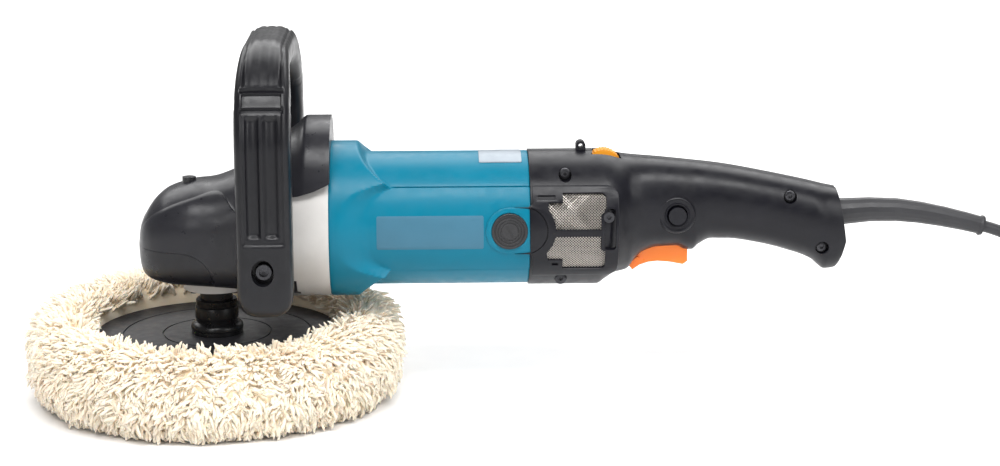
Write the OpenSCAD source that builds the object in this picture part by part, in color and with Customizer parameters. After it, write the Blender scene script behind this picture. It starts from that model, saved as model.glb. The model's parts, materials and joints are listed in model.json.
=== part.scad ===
// Rotary polisher: loop front handle, trigger rear handle, rubber backing pad and wool bonnet.
// Origin: spindle axis at the polishing face. +X runs back to the rear handle, +Z is up.

/* [Working end] */
// Radius over the pile of the wool bonnet
bonnet_r = 127; // [122:1:128]
// Radius of the flat polishing face
bonnet_face_r = 106; // [100:1:110]
// Height of the bonnet's rolled rim
bonnet_h = 65; // [62:1:68]
// Radius of the rubber backing pad
pad_r = 84.5; // [80:0.5:85]
// Height of the pad's top face
pad_top = 42; // [40:1:42]
// Thickness of the pad
pad_t = 16; // [12:1:18]

/* [Gear head] */
// Height of the head's cover seam
seam_z = 106; // [104:1:108]
// Wall of the plastic head cover
cover_t = 2.5; // [2:0.1:2.8]
// Wall of the gear casting
casting_t = 4; // [3.5:0.1:4.5]
// Travel of the shaft lock
lock_pin_travel = 4.5; // [4:0.1:4.8]

/* [Gears] */
// Module of the motor stage
spur_m = 0.8; // [0.8]
// Teeth of the motor pinion
motor_teeth = 9; // [9]
// Teeth of the reduction gear
reduction_teeth = 41; // [41]
// Module of the bevel stage
bevel_m = 1.7; // [1.7]
// Teeth of the bevel pinion
pinion_teeth = 13; // [13]
// Teeth of the bevel gear
gear_teeth = 27; // [27]

/* [Motor] */
// Height of the motor axis
motor_z = 121; // [121]
// Outer radius of the motor housing
motor_r = 46; // [45.5:0.1:46.5]
// Outer radius of its front flange
flange_r = 52.4; // [52:0.1:52.8]
// Place of the flange's front face
motor_front = 79; // [79]
// Place of the motor housing's rear face
motor_rear = 211.6; // [211.6]
// Wall of the motor housing
motor_wall = 3.4; // [3:0.1:3.6]
// Place of the carbon brushes along the motor
brush_x = 198; // [198]

/* [Loop handle] */
// Place of the loop along the tool
loop_x = 39.5; // [39:0.5:40]
// Distance of each leg's middle from the spindle
loop_y = 80; // [79:0.5:81]
// Top of the loop
loop_top = 248; // [244:0.5:250]
// Radius of its upper corners, at the middle of the grip
loop_corner = 52; // [46:1:56]
// Width of the legs along the tool
loop_w = 36; // [34:0.5:37]
// Thickness of the grip
loop_t = 26; // [24:0.5:27]
// Height of the handle bolts
bolt_z = 105; // [104:0.5:106]

/* [Rear handle] */
// Wall of the handle shells
shell_t = 3; // [2.6:0.1:3.2]
// Place of the trigger's pivot
trigger_x = 286; // [286]
// Height of the trigger's pivot
trigger_z = 92.5; // [92.5]
// Place of the lock-on button
lock_x = 311; // [311]
// Height of the lock-on button
lock_z = 126.5; // [126.5]
// Radius of the lock-on button
lock_r = 6; // [5.6:0.1:6.2]
// Radius of the speed dial
dial_r = 12.3; // [12:0.1:12.4]
// Place of the speed dial
dial_x = 263; // [263]
// Height of the dial's axle
dial_z = 155.5; // [155:0.1:156]

/* [Cord] */
// Diameter of the cord
cord_d = 8; // [7.6:0.1:8.4]
// Radius of the coil at the middle of its turns
coil_mid_r = 44; // [44]
// Width and height of the coil's winding
coil_w = 24; // [24]
// Place of the coil along the tool
coil_x = 620; // [620]

/* [Hidden] */
$fn = 64;

// Clearances: a running fit in a bearing, and a gap between parts that move past each other
fit = 0.03;
gap = 0.4;

// Gear train
spur_tip = 0.8;
spur_root = 1.1;
idler_z = motor_z - spur_m * (motor_teeth + reduction_teeth) / 2;
bevel_gear_r = bevel_m * gear_teeth / 2;
bevel_pinion_r = bevel_m * pinion_teeth / 2;
cone_far = norm([bevel_gear_r, bevel_pinion_r]);
cone_near = cone_far * 0.7;
cone_dir = [bevel_gear_r, 0, bevel_pinion_r] / cone_far;
cone_up = [-bevel_pinion_r, 0, bevel_gear_r] / cone_far;
bevel_tip = 1.05;
bevel_root = 1.5;
gear_top = 119;
lock_pin_x = -16;
lock_pin_r = 2.6;
reduction_x = 44;
reduction_w = 12;

// Bearings: width, outer radius and bore radius
bearing_608 = [7, 11, 4];
bearing_688 = [5, 8, 4];
bearing_6002 = [9, 16, 7.5];
bearing_6000 = [8, 13, 5];
// Room between the casting and the plastic cover over it
skin_gap = 0.7;
boss_r = 13.5;
lower_bearing_z = 77.5;
upper_bearing_z = 121.5;
idler_front_x = 30;
idler_rear_x = 60.5;
front_bearing_x = 62;
rear_bearing_x = 217;

// Head profile along the tool: top, bottom and half width
head_top = [[-50, 110], [-48.6, 119], [-44.7, 127.3], [-38, 136.5], [-29.3, 143],
    [-20, 146.2], [-13, 148], [-1, 149.2], [12, 153.4], [30, 164], [45, 176], [57.5, 185],
    [64, 190.5], [80, 190.5]];
head_bottom = [[-50, 100], [-48.6, 92], [-45, 86], [-38, 83], [-29, 81.5], [-13, 80.5],
    [20, 78], [40, 72], [50, 68.8], [80, 68.8]];
head_half = [[-50, 8], [-48.6, 15], [-44.7, 23.5], [-38, 31], [-29.3, 36.5], [-20, 39.5],
    [-13, 41], [-1, 42], [20, 43.5], [40, 49], [53, 51.8], [80, 51.8]];
head_x = [-50, -48.6, -44.7, -38, -29.3, -20, -8, 4, 16, 28, 40, 50, 57.5, 64, 80];
head_back = 53.4;
hood_back = 80;
seam_r = 22;
seam_x = -20;

// Rear handle profile along the tool: top, bottom and half width
grip_top = [[211.6, 167], [258, 167], [266, 166], [274, 163.8], [303, 161], [342.5, 156.4],
    [376.6, 150], [405, 143.8], [414, 141.6], [420, 138.5], [424, 130], [426.5, 120]];
grip_bottom = [[211.6, 75], [258, 75], [264, 79], [270, 83], [279, 85.5], [283, 91],
    [290, 97.5], [300, 100.6], [313, 101], [319, 98.4], [323, 98.2], [327, 101.6], [336, 106], [348, 105.8], [365, 103.4],
    [388, 97.6], [405, 91], [409, 87.6], [414, 84], [420, 86.4], [424, 92], [426.5, 100]];
grip_half = [[211.6, 46], [250, 46], [262, 45], [270, 41], [279, 33], [288, 28.5],
    [300, 26.5], [330, 25], [376, 24], [405, 24], [414, 22.5], [420, 20], [424, 16],
    [426.5, 10]];
grip_x = [211.6, 235, 258, 264, 270, 279, 284, 290, 300, 313, 319, 323, 328, 336, 348, 362, 376, 390,
    405, 410, 414, 420, 424, 426.5];
grip_back = 426.5;
screw_places = [[234, 155], [233, 84], [387.5, 137.4], [410, 102.4]];
screw_half = [33, 28, 21.5, 20.5];

// Vent covers, on the round shell at the rear of the motor
vent_x0 = 213;
vent_x1 = 268;
vent_angle = 38;
vent_out = motor_r + 0.4;
vent_in = motor_r - 2.4;

// Cord: where it leaves the guard, and its route down to the coil and on to the plug
guard_path = [[421, 0, 122.5], [430, 0, 123], [446, 0, 124], [464, 0, 123.6], [480, 0, 121.6],
    [496, 0, 118.6], [511, 0, 115.2], [521, 0, 112.6]];
guard_radius = [9.6, 9, 8.4, 8, 7.5, 7, 6.5, 6.2];
guard_end = [521, 0, 112.6];
guard_dir = [0.96, 0, -0.28];
lead_route = [[524, 0, 111.8], [536, 0, 108], [548, 2, 102], [559, 6, 94], [568, 11, 84],
    [576, 18, 72], [583, 25, 60], [590, 32, 48], [598, 39, 37], [608, 46, 27], [620, 52, 20]];
tail_route = [[672, 2, 4], [672, -8, 4.2], [672.6, -18, 6], [673.4, -29, 9.6], [674, -40, 12.4],
    [674, -46, 13]];
plug_x = 674;
plug_z = 13;
plug_y = -46;
pin_pitch = 19;
pin_r = 2.4;

// ---- Shared shapes ----

function unit(v) = v / norm(v);
function power(v, e) = sign(v) * pow(abs(v), e);
// Superellipse ring across the tool at x, centred on height zc
function ring_at(x, zc, hw, hh, e, n) =
    [for (i = [0:n - 1]) let (t = i * 360 / n)
        [x, hw * power(cos(t), 2 / e), zc + hh * power(sin(t), 2 / e)]];
function tangent(path, i) =
    unit(path[min(i + 1, len(path) - 1)] - path[max(i - 1, 0)]);

// Closed skin over a row of rings with the same number of points
module skin(rings) {
    n = len(rings[0]);
    m = len(rings);
    polyhedron(
        points = [for (r = rings) each r],
        faces = concat(
            [[for (i = [0:n - 1]) i], [for (i = [n - 1:-1:0]) (m - 1) * n + i]],
            [for (j = [0:m - 2], i = [0:n - 1]) let (k = (i + 1) % n)
                each [[j * n + i, (j + 1) * n + i, (j + 1) * n + k],
                      [j * n + i, (j + 1) * n + k, j * n + k]]]));
}

// Loft along the tool, its walls moved in by inset
module profile_loft(xs, tops, bottoms, halves, inset = 0, e = 2.5, n = 28) {
    skin([for (x = xs) let (t = lookup(x, tops) - inset, b = lookup(x, bottoms) + inset)
        ring_at(x, (t + b) / 2, max(lookup(x, halves) - inset, 1), max((t - b) / 2, 1), e, n)]);
}

// Round tube along a path, with one radius for each point
module tube(path, radii, sides = 10) {
    skin([for (i = [0:len(path) - 1])
        let (t = tangent(path, i), u = unit(cross([0, 1, 0], t)), v = cross(t, u))
        [for (k = [0:sides - 1]) let (a = k * 360 / sides)
            path[i] + radii[i] * (cos(a) * u + sin(a) * v)]]);
}

// Coil spring standing on the origin, along +Z
module spring(radius, wire, turns, length) {
    steps = 10;
    count = turns * steps;
    skin([for (i = [0:count])
        let (a = i * 360 / steps, out = [cos(a), sin(a), 0],
             t = unit([-sin(a), cos(a), length / (2 * PI * radius * turns)]), v = cross(t, out))
        [for (k = [0:5]) let (b = k * 60)
            radius * out + [0, 0, i * length / count] + wire * (cos(b) * out + sin(b) * v)]]);
}

module rod_x(x0, x1, r, z = motor_z, y = 0) {
    translate([x0, y, z]) rotate([0, 90, 0]) cylinder(h = x1 - x0, r = r);
}

module rod_y(y0, y1, r, x, z) {
    translate([x, y0, z]) rotate([-90, 0, 0]) cylinder(h = y1 - y0, r = r);
}

module rod_z(z0, z1, r, x = 0, y = 0) {
    translate([x, y, z0]) cylinder(h = z1 - z0, r = r);
}

module cone_x(x0, x1, r0, r1, z = motor_z) {
    translate([x0, 0, z]) rotate([0, 90, 0]) cylinder(h = x1 - x0, r1 = r0, r2 = r1);
}

module pipe_x(x0, x1, ro, ri, z = motor_z) {
    difference() {
        rod_x(x0, x1, ro, z);
        rod_x(x0 - 1, x1 + 1, ri, z);
    }
}

// Curved patch about the motor axis: 0 degrees is down and -90 is the near side
module patch_x(x0, x1, ri, ro, a0, a1) {
    translate([x0, 0, motor_z]) rotate([0, 90, 0])
        rotate_extrude(angle = a1 - a0, start = a0)
            translate([ri, 0]) square([ro - ri, x1 - x0]);
}

// Plate between two heights, cut out of the head or a shell
module block(x0, x1, y0, y1, z0, z1) {
    translate([x0, y0, z0]) cube([x1 - x0, y1 - y0, z1 - z0]);
}

module both_sides() {
    children();
    mirror([0, 1, 0]) children();
}

// Ball bearing standing on the origin, along +Z, with its face grooves
module bearing(size) {
    w = size[0];
    mid = (size[1] + size[2]) / 2;
    groove = (size[1] - size[2]) * 0.22;
    rotate_extrude()
        difference() {
            translate([size[2] + fit, 0]) square([size[1] - size[2] - fit, w]);
            translate([mid - groove, -1]) square([2 * groove, 1.5]);
            translate([mid - groove, w - 0.5]) square([2 * groove, 1.5]);
        }
}

module bearing_x(x, z, size) {
    translate([x, 0, z]) rotate([0, 90, 0]) bearing(size);
}

// Socket screw along +Y with its head's top at the origin, pointing away from the near side
module screw_y(head_r, head_h, shank_r, length, socket = 2) {
    rotate([-90, 0, 0]) difference() {
        union() {
            cylinder(h = head_h, r = head_r);
            translate([0, 0, head_h]) cylinder(h = length - head_h, r = shank_r);
        }
        translate([0, 0, -1]) cylinder(h = head_h * 0.6 + 1, r = socket, $fn = 6);
    }
}

// ---- Gear head ----

// Stretch at the lower front where the casting shows below the plastic cover
module bare_casting_zone() {
    translate([0, 60, 0]) rotate([90, 0, 0]) linear_extrude(height = 120) union() {
        translate([-60, 60]) square([60 + seam_x, seam_z - 60]);
        translate([seam_x - 1, 60]) square([seam_r + 1, 84 - 60]);
        intersection() {
            translate([seam_x, seam_z - seam_r]) circle(r = seam_r);
            translate([seam_x - 1, seam_z - seam_r]) square([seam_r + 2, seam_r + 1]);
        }
    }
}

module head_loft(inset) {
    profile_loft(head_x, head_top, head_bottom, head_half, inset);
}

module gear_housing() {
    color([0.16, 0.16, 0.17]) difference() {
        union() {
            difference() {
                intersection() {
                    rod_x(-60, head_back, flange_r - cover_t - 0.4);
                    union() {
                        head_loft(cover_t + skin_gap);
                        intersection() {
                            head_loft(0);
                            bare_casting_zone();
                        }
                    }
                }
                intersection() {
                    head_loft(cover_t + casting_t);
                    block(-44, 60, -60, 60, 82.5, 141);
                    rod_x(-60, 60, flange_r - cover_t - casting_t);
                }
            }
            both_sides() rod_y(41, 60, boss_r, loop_x, bolt_z);
            difference() {
                intersection() {
                    block(idler_front_x, idler_front_x + 7, -40, 40, 82, 116);
                    head_loft(cover_t + casting_t - 1);
                }
                rod_x(20, 40, bearing_608[1], idler_z);
            }
            difference() {
                intersection() {
                    rod_z(upper_bearing_z, 146, 19);
                    head_loft(cover_t + skin_gap);
                }
                rod_z(upper_bearing_z - 1, upper_bearing_z + 8, bearing_6000[1]);
                rod_z(upper_bearing_z, 134, 6);
            }
        }
        rod_z(60, 90, 19.3);
        rod_z(110, 160, lock_pin_r + 0.25, lock_pin_x);
        rod_z(134, 160, 5.2, lock_pin_x);
        both_sides() rod_y(46, 61, 4, loop_x, bolt_z);
    }
}

module head_cover() {
    color([0.2, 0.2, 0.21]) difference() {
        head_loft(0);
        intersection() {
            head_loft(cover_t);
            block(-60, hood_back - 3, -60, 60, 60, 200);
        }
        rod_x(head_back - 0.2, hood_back + 1, flange_r + 0.3);
        block(head_back - 0.2, hood_back + 1, -60, 60, 60, 141);
        bare_casting_zone();
        both_sides() rod_y(30, 60, boss_r + 0.3, loop_x, bolt_z);
        rod_z(60, 90, 22.5);
        rod_z(130, 160, 5.4, lock_pin_x);
    }
}

module gear_housing_cover() {
    color([0.76, 0.77, 0.78]) difference() {
        union() {
            pipe_x(head_back, motor_front, flange_r, flange_r - 5);
            rod_x(60, 71, flange_r - 4);
        }
        rod_x(front_bearing_x, 72, bearing_608[1]);
        rod_x(59, 72, 6);
        rod_x(59, idler_rear_x + 5, bearing_688[1], idler_z);
        for (a = [45:90:315])
            translate([50, 43 * cos(a), motor_z + 43 * sin(a)])
                rotate([0, 90, 0]) cylinder(h = 40, r = 2.3);
    }
}

module gear_cover_screws() {
    color([0.5, 0.5, 0.52])
        for (a = [45:90:315])
            translate([77, 43 * cos(a), motor_z + 43 * sin(a)])
                rotate([0, 0, 90]) screw_y(3.8, 5.8, 2.2, 16);
}

module bearing_box() {
    color([0.75, 0.76, 0.77]) difference() {
        union() {
            rod_z(74, 80, 22);
            rod_z(79, 87, 19);
        }
        rod_z(lower_bearing_z - 0.5, 88, bearing_6002[1]);
        rod_z(73, 88, 13);
        for (a = [45:90:315]) rotate([0, 0, a]) rod_z(73, 90, 1.5, 19.2);
    }
}

module bearing_box_screws() {
    color([0.45, 0.45, 0.47])
        for (a = [45:90:315]) rotate([0, 0, a]) translate([19.2, 0, 73])
            rotate([90, 0, 0]) screw_y(2.4, 1, 1.4, 8, 1.2);
}

module spindle_lower_bearing() {
    color("silver") translate([0, 0, lower_bearing_z]) bearing(bearing_6002);
}

module spindle_upper_bearing() {
    color("silver") translate([0, 0, upper_bearing_z]) bearing(bearing_6000);
}

module idler_bearings() {
    color("silver") {
        bearing_x(idler_front_x, idler_z, bearing_608);
        bearing_x(idler_rear_x, idler_z, bearing_688);
    }
}

module shaft_lock_button() {
    color([0.12, 0.12, 0.13]) union() {
        rod_z(144, 150.2, 4.6, lock_pin_x);
        rod_z(gear_top + 0.8, 145, lock_pin_r, lock_pin_x);
    }
}

module shaft_lock_spring() {
    color("silver") translate([lock_pin_x, 0, 134.6]) spring(3.8, 0.4, 5, 8.6);
}

// ---- Spindle, pad and bonnet ----

module spindle() {
    color([0.7, 0.71, 0.72]) union() {
        rod_z(47, 66, 8);
        rod_z(66, 76.5, 11);
        rod_z(76.5, 88, bearing_6002[2]);
        rod_z(88, 107.5, 8.5);
        rod_z(107.5, 120.5, 7);
        rod_z(120, 131, bearing_6000[2]);
    }
}

// One tapered tooth on the shared pitch cone, standing away from its own gear
module bevel_tooth(side) {
    far = 1.1;
    function corner(d, h, w) = d * (cone_dir + side * h / cone_far * cone_up
        + w / cone_far * [0, 1, 0]);
    bottom = -bevel_root - 0.5;
    points = [for (d = [cone_near, cone_far])
        for (p = [[bottom, -far], [bottom, far], [bevel_tip, 0.45], [bevel_tip, -0.45]])
            corner(d, p[0], p[1])];
    quads = [[0, 1, 2, 3], [7, 6, 5, 4], [0, 4, 5, 1], [1, 5, 6, 2], [2, 6, 7, 3], [3, 7, 4, 0]];
    polyhedron(points, side > 0 ? quads
        : [for (q = quads) [q[3], q[2], q[1], q[0]]]);
}

module bevel_gear() {
    root_far = cone_far * cone_dir + bevel_root * cone_up;
    root_near = cone_near * cone_dir + bevel_root * cone_near / cone_far * cone_up;
    color([0.55, 0.55, 0.57]) difference() {
        translate([0, 0, idler_z]) union() {
            rotate_extrude() polygon([[7.02, gear_top - idler_z], [7.02, root_near[2] - 1],
                [root_near[0] - 3, root_near[2] - 1], [root_near[0], root_near[2]],
                [root_far[0], root_far[2]], [root_far[0], gear_top - idler_z]]);
            for (i = [0:gear_teeth - 1])
                rotate([0, 0, (i + 0.5) * 360 / gear_teeth]) bevel_tooth(-1);
        }
        for (a = [0:90:270]) rotate([0, 0, a])
            rod_z(gear_top - 5, gear_top + 1, lock_pin_r + 0.5, lock_pin_x);
    }
}

module pad_hub() {
    color([0.1, 0.1, 0.1]) difference() {
        union() {
            rod_z(pad_top, 48, 17.8);
            rod_z(47, 66, 14.7);
        }
        rod_z(46, 67, 8.05);
        for (a = [0:60:300]) rotate([0, 0, a]) block(13.6, 16, -3, 3, 49, 67);
    }
}

module backing_pad() {
    color([0.1, 0.1, 0.1]) difference() {
        rotate_extrude($fn = 96) polygon([[0, pad_top - pad_t], [pad_r - 3, pad_top - pad_t],
            [pad_r, pad_top - pad_t + 4], [pad_r, pad_top - 2], [pad_r - 1.5, pad_top],
            [0, pad_top]]);
        for (r = [36, 63]) rotate_extrude($fn = 96)
            translate([r, pad_top - 1]) square([1.2, 2]);
    }
}

module bonnet() {
    floor_z = pad_top - pad_t - 0.3;
    inner = pad_r + 0.5;
    mid_z = bonnet_h / 2;
    color([0.97, 0.94, 0.86]) rotate_extrude($fn = 96) polygon(concat(
        [[0, 0]],
        [for (a = [-90:12:90])
            [bonnet_face_r + (bonnet_r - bonnet_face_r) * power(cos(a), 0.7),
             mid_z + mid_z * power(sin(a), 0.8)]],
        [for (a = [15:15:90])
            [bonnet_face_r - (bonnet_face_r - inner) * sin(a),
             pad_top + (bonnet_h - pad_top) * cos(a)]],
        [[inner, floor_z], [0, floor_z]]));
}

// ---- Reduction ----

// Flat gear blank with straight-sided teeth, the first one pointing along +X
module spur_profile(teeth, base, tip) {
    r = spur_m * teeth / 2;
    pitch = 360 / teeth;
    polygon([for (i = [0:teeth - 1])
        for (p = [[-base, r - spur_root * spur_m], [-tip, r + spur_tip * spur_m],
                  [tip, r + spur_tip * spur_m], [base, r - spur_root * spur_m]])
            p[1] * [cos((i + p[0]) * pitch), sin((i + p[0]) * pitch)]]);
}

module spur_x(x0, x1, z, teeth, base, tip) {
    translate([x0, 0, z]) rotate([0, 90, 0])
        linear_extrude(height = x1 - x0) spur_profile(teeth, base, tip);
}

module idler_shaft() {
    color([0.7, 0.71, 0.72]) rod_x(cone_near * cone_dir[0] + 0.5, idler_rear_x + 5, 4, idler_z);
}

module reduction_gear() {
    color([0.6, 0.6, 0.62]) difference() {
        spur_x(reduction_x, reduction_x + reduction_w, idler_z, reduction_teeth, 0.27, 0.1);
        rod_x(reduction_x - 1, reduction_x + reduction_w + 1, 4.01, idler_z);
        for (a = [0:60:300]) rotate_about(idler_z, a)
            rod_x(reduction_x - 1, reduction_x + reduction_w + 1, 2.4, idler_z + 10);
    }
}

module rotate_about(z, a) {
    translate([0, 0, z]) rotate([a, 0, 0]) translate([0, 0, -z]) children();
}

module bevel_pinion() {
    root = bevel_root / cone_far;
    near = cone_near * (cone_dir - root * cone_up);
    far = cone_far * (cone_dir - root * cone_up);
    color([0.6, 0.6, 0.62]) difference() {
        union() {
            cone_x(near[0], far[0], near[2], far[2], idler_z);
            rod_x(far[0] - 0.5, idler_front_x, 6, idler_z);
            for (i = [0:pinion_teeth - 1])
                translate([0, 0, idler_z]) rotate([i * 360 / pinion_teeth, 0, 0]) bevel_tooth(1);
        }
        rod_x(0, idler_front_x + 1, 4.01, idler_z);
    }
}

// ---- Motor ----

module motor_housing() {
    bevel_x = 109;
    color([0, 0.55, 0.62]) difference() {
        union() {
            rod_x(motor_front, 100, flange_r);
            cone_x(100, bevel_x, flange_r, motor_r);
            rod_x(bevel_x, motor_rear, motor_r);
            both_sides() rod_y(30, motor_r + 1.2, 15.4, brush_x - 2, motor_z);
        }
        difference() {
            rod_x(motor_front - 1, motor_rear - 3, motor_r - motor_wall);
            both_sides() block(brush_x - 9, brush_x + 9, 36, 48, motor_z - 9, motor_z + 9);
        }
        rod_x(motor_front - 1, 98, flange_r - motor_wall);
        rod_x(motor_rear - 4, motor_rear + 1, 11.2);
        for (a = [20:40:340]) rotate_about(motor_z, a)
            block(motor_rear - 4, motor_rear + 1, -4, 4, motor_z + 20, motor_z + 36);
        both_sides() rod_y(30, 50, 12, brush_x, motor_z);
        both_sides() patch_x(110.6, 180.6, motor_r - 1, motor_r + 1, 90 - 13.8, 90 + 13.8);
        patch_x(179, 207, motor_r - 0.5, motor_r + 1, -158, -134);
    }
    color([0, 0.55, 0.62]) difference() {
        rod_x(motor_rear - 3, rear_bearing_x + 8, 14.5);
        rod_x(motor_rear - 4, rear_bearing_x + 7, bearing_608[1]);
        rod_x(motor_rear, rear_bearing_x + 9, 6);
    }
}

module side_panels() {
    color([0.35, 0.5, 0.52]) both_sides()
        patch_x(110.8, 180.4, motor_r - 0.9, motor_r + 0.1, 90 - 13.6, 90 + 13.6);
}

module rating_plate() {
    color([0.85, 0.86, 0.86]) patch_x(179.2, 206.8, motor_r - 0.4, motor_r + 0.1, -157.8, -134.2);
}

module brush_caps() {
    color([0.1, 0.1, 0.1]) both_sides() difference() {
        rod_y(35, motor_r + 1.6, 11.7, brush_x, motor_z);
        translate([brush_x, motor_r + 2, motor_z]) rotate([0, 45, 0])
            cube([30, 2.4, 3], center = true);
    }
}

module brush_holders() {
    color([0.8, 0.65, 0.3]) both_sides() difference() {
        block(brush_x - 6, brush_x + 6, 13.5, 34.5, motor_z - 6, motor_z + 6);
        block(brush_x - 4.1, brush_x + 4.1, 13, 36, motor_z - 4.1, motor_z + 4.1);
    }
}

module carbon_brushes() {
    color([0.2, 0.2, 0.2]) both_sides()
        block(brush_x - 4, brush_x + 4, 12.6, 25, motor_z - 4, motor_z + 4);
}

module brush_springs() {
    color("silver") both_sides() translate([brush_x, 25.5, motor_z]) rotate([-90, 0, 0])
        spring(2.9, 0.4, 5, 8.8);
}

module stator_core() {
    color([0.45, 0.46, 0.48]) difference() {
        rod_x(120, 176, motor_r - motor_wall - 0.1);
        rod_x(119, 177, 26.6);
        both_sides() for (t = [-1, 1])
            block(119, 177, 22, 33, motor_z + t * 14 - 4, motor_z + t * 14 + 4);
    }
}

module field_coils() {
    color([0.72, 0.4, 0.18]) for (s = [0, 180]) {
        patch_x(111, 120, 29, 39, s - 62, s + 62);
        patch_x(176, 185, 29, 39, s - 62, s + 62);
        for (t = [-1, 1], u = [-1, 1]) if (s == 0)
            block(120, 176, u > 0 ? 24.5 : -32, u > 0 ? 32 : -24.5, motor_z + t * 14 - 3,
                motor_z + t * 14 + 3);
    }
}

module baffle_plate() {
    color([0.12, 0.12, 0.12]) difference() {
        rod_x(105, 107.5, motor_r - motor_wall - 0.1);
        rod_x(104, 108, 30);
    }
}

module rear_bearing() {
    color("silver") bearing_x(rear_bearing_x, motor_z, bearing_608);
}

module front_bearing() {
    color("silver") bearing_x(front_bearing_x, motor_z, bearing_608);
}

module armature_shaft() {
    color([0.7, 0.71, 0.72]) union() {
        spur_x(reduction_x - 1, 58, motor_z, motor_teeth, 0.27, 0.1);
        rod_x(58, 70, bearing_608[2]);
        rod_x(70, 214, 5);
        rod_x(214, rear_bearing_x + 7, bearing_608[2]);
    }
}

module armature_core() {
    color([0.45, 0.46, 0.48]) difference() {
        rod_x(122, 174, 25.8);
        rod_x(121, 175, 5.01);
        for (a = [15:30:345]) rotate_about(motor_z, a) {
            block(121, 175, -0.8, 0.8, motor_z + 20, motor_z + 27);
            rod_x(121, 175, 2.6, motor_z + 19);
        }
    }
}

module armature_windings() {
    color([0.72, 0.4, 0.18]) for (x = [112, 174])
        translate([x, 0, motor_z]) rotate([0, 90, 0]) rotate_extrude()
            polygon([[7, 0], [17, 0], [22, x < 120 ? 4 : 2], [23, x < 120 ? 10 : 5],
                [20, x < 120 ? 10 : 9], [7, x < 120 ? 10 : 9]]);
}

module commutator() {
    color([0.75, 0.45, 0.2]) difference() {
        rod_x(188, 208, 12.4);
        rod_x(187, 209, 5.01);
        for (a = [0:18:342]) rotate_about(motor_z, a)
            block(187, 206, -0.4, 0.4, motor_z + 11, motor_z + 14);
    }
}

module cooling_fan() {
    color([0.15, 0.15, 0.15]) difference() {
        union() {
            rod_x(88, 103, 9);
            rod_x(88, 90.5, 38);
            for (a = [0:24:336]) rotate_about(motor_z, a)
                block(90, 102, -0.9, 0.9, motor_z + 14, motor_z + 37);
        }
        rod_x(87, 104, 5.01);
    }
}

// ---- Loop handle ----

loop_mid_z = loop_top - loop_t / 2;
loop_bend_z = loop_mid_z - loop_corner;
loop_path = concat(
    [[-loop_y, 112, loop_w / 2], [-loop_y, 150, loop_w / 2]],
    [for (a = [180:-15:90]) [-loop_y + loop_corner + loop_corner * cos(a),
        loop_bend_z + loop_corner * sin(a), loop_w / 2 - 2.5 * (180 - a) / 90]],
    [for (a = [90:-15:0]) [loop_y - loop_corner + loop_corner * cos(a),
        loop_bend_z + loop_corner * sin(a), loop_w / 2 - 2.5 * a / 90]],
    [[loop_y, 150, loop_w / 2], [loop_y, 112, loop_w / 2]]);

module loop_handle() {
    n = 20;
    last = len(loop_path) - 1;
    foot_r = loop_w / 2 + 0.5;
    color([0.13, 0.13, 0.13]) difference() {
        union() {
            skin([for (i = [0:last])
                let (p = loop_path[i], a = loop_path[max(i - 1, 0)],
                     b = loop_path[min(i + 1, last)],
                     t = unit([0, b[0] - a[0], b[1] - a[1]]), v = cross(t, [1, 0, 0]))
                [for (k = [0:n - 1]) let (q = k * 360 / n)
                    [loop_x, p[0], p[1]] + p[2] * power(cos(q), 0.7) * [1, 0, 0]
                        + loop_t / 2 * power(sin(q), 0.7) * v]]);
            both_sides() translate([loop_x, loop_y - loop_t / 2, 0]) rotate([-90, 0, 0])
                linear_extrude(height = loop_t) union() {
                    translate([0, -93.5]) circle(r = foot_r);
                    translate([-foot_r, -122]) square([2 * foot_r, 28.5]);
                }
        }
        both_sides() rod_y(60, 100, 4.1, loop_x, bolt_z);
        both_sides() rod_y(loop_y + 5, 100, 8, loop_x, bolt_z);
    }
}

module loop_spacers() {
    color([0.7, 0.71, 0.72]) both_sides() difference() {
        rod_y(60, loop_y - loop_t / 2, 15, loop_x, bolt_z);
        rod_y(59, 70, 4.1, loop_x, bolt_z);
    }
}

module loop_bolts() {
    color([0.6, 0.6, 0.62]) mirrored_bolts();
}

module mirrored_bolts() {
    both_sides() mirror([0, 1, 0]) translate([loop_x, -loop_y - 11.5, bolt_z])
        screw_y(6.5, 6.5, 3.99, 43, 3.2);
}

// ---- Rear handle ----

module grip_loft(inset) {
    profile_loft(grip_x, grip_top, grip_bottom, grip_half, inset, 2.3);
}

module handle_shell() {
    difference() {
        union() {
            difference() {
                grip_loft(0);
                intersection() {
                    grip_loft(shell_t);
                    block(205, grip_back - 5, -60, 60, 60, 200);
                }
            }
            intersection() {
                grip_loft(1);
                for (i = [0:3])
                    rod_y(-screw_half[i], screw_half[i], 5, screw_places[i][0],
                        screw_places[i][1]);
            }
        }
        rod_x(210, rear_bearing_x + 9, 15);
        both_sides() patch_x(vent_x0 - 0.3, vent_x1 + 0.3, vent_in - 8, vent_out + 3,
            90 - vent_angle - 0.4, 90 + vent_angle + 0.4);
        block(trigger_x - 8, 323, -8, 8, 80, 112);
        block(dial_x - 11, dial_x + 11, -5.6, 5.6, 150, 175);
        rod_y(-12, 12, 1.8 + fit, trigger_x, trigger_z);
        rod_y(-40, -10, lock_r + 0.35, lock_x, lock_z);
        rod_y(-40, -24.3, 9.5, lock_x, lock_z);
        rod_x(415, 432, 9.9, 122.7);
        for (i = [0:3])
            rod_y(-60, -screw_half[i] + 4, 3.9, screw_places[i][0], screw_places[i][1]);
        for (i = [0:3])
            rod_y(-60, screw_half[i] - 6, 1.7, screw_places[i][0], screw_places[i][1]);
        block(244, 251, -4, 4, 163, 172);
    }
}

module handle_left() {
    color([0.14, 0.14, 0.15]) intersection() {
        handle_shell();
        block(200, 440, -60, 0, 60, 200);
    }
}

module handle_right() {
    color([0.14, 0.14, 0.15]) intersection() {
        handle_shell();
        block(200, 440, 0, 60, 60, 200);
    }
}

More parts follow.
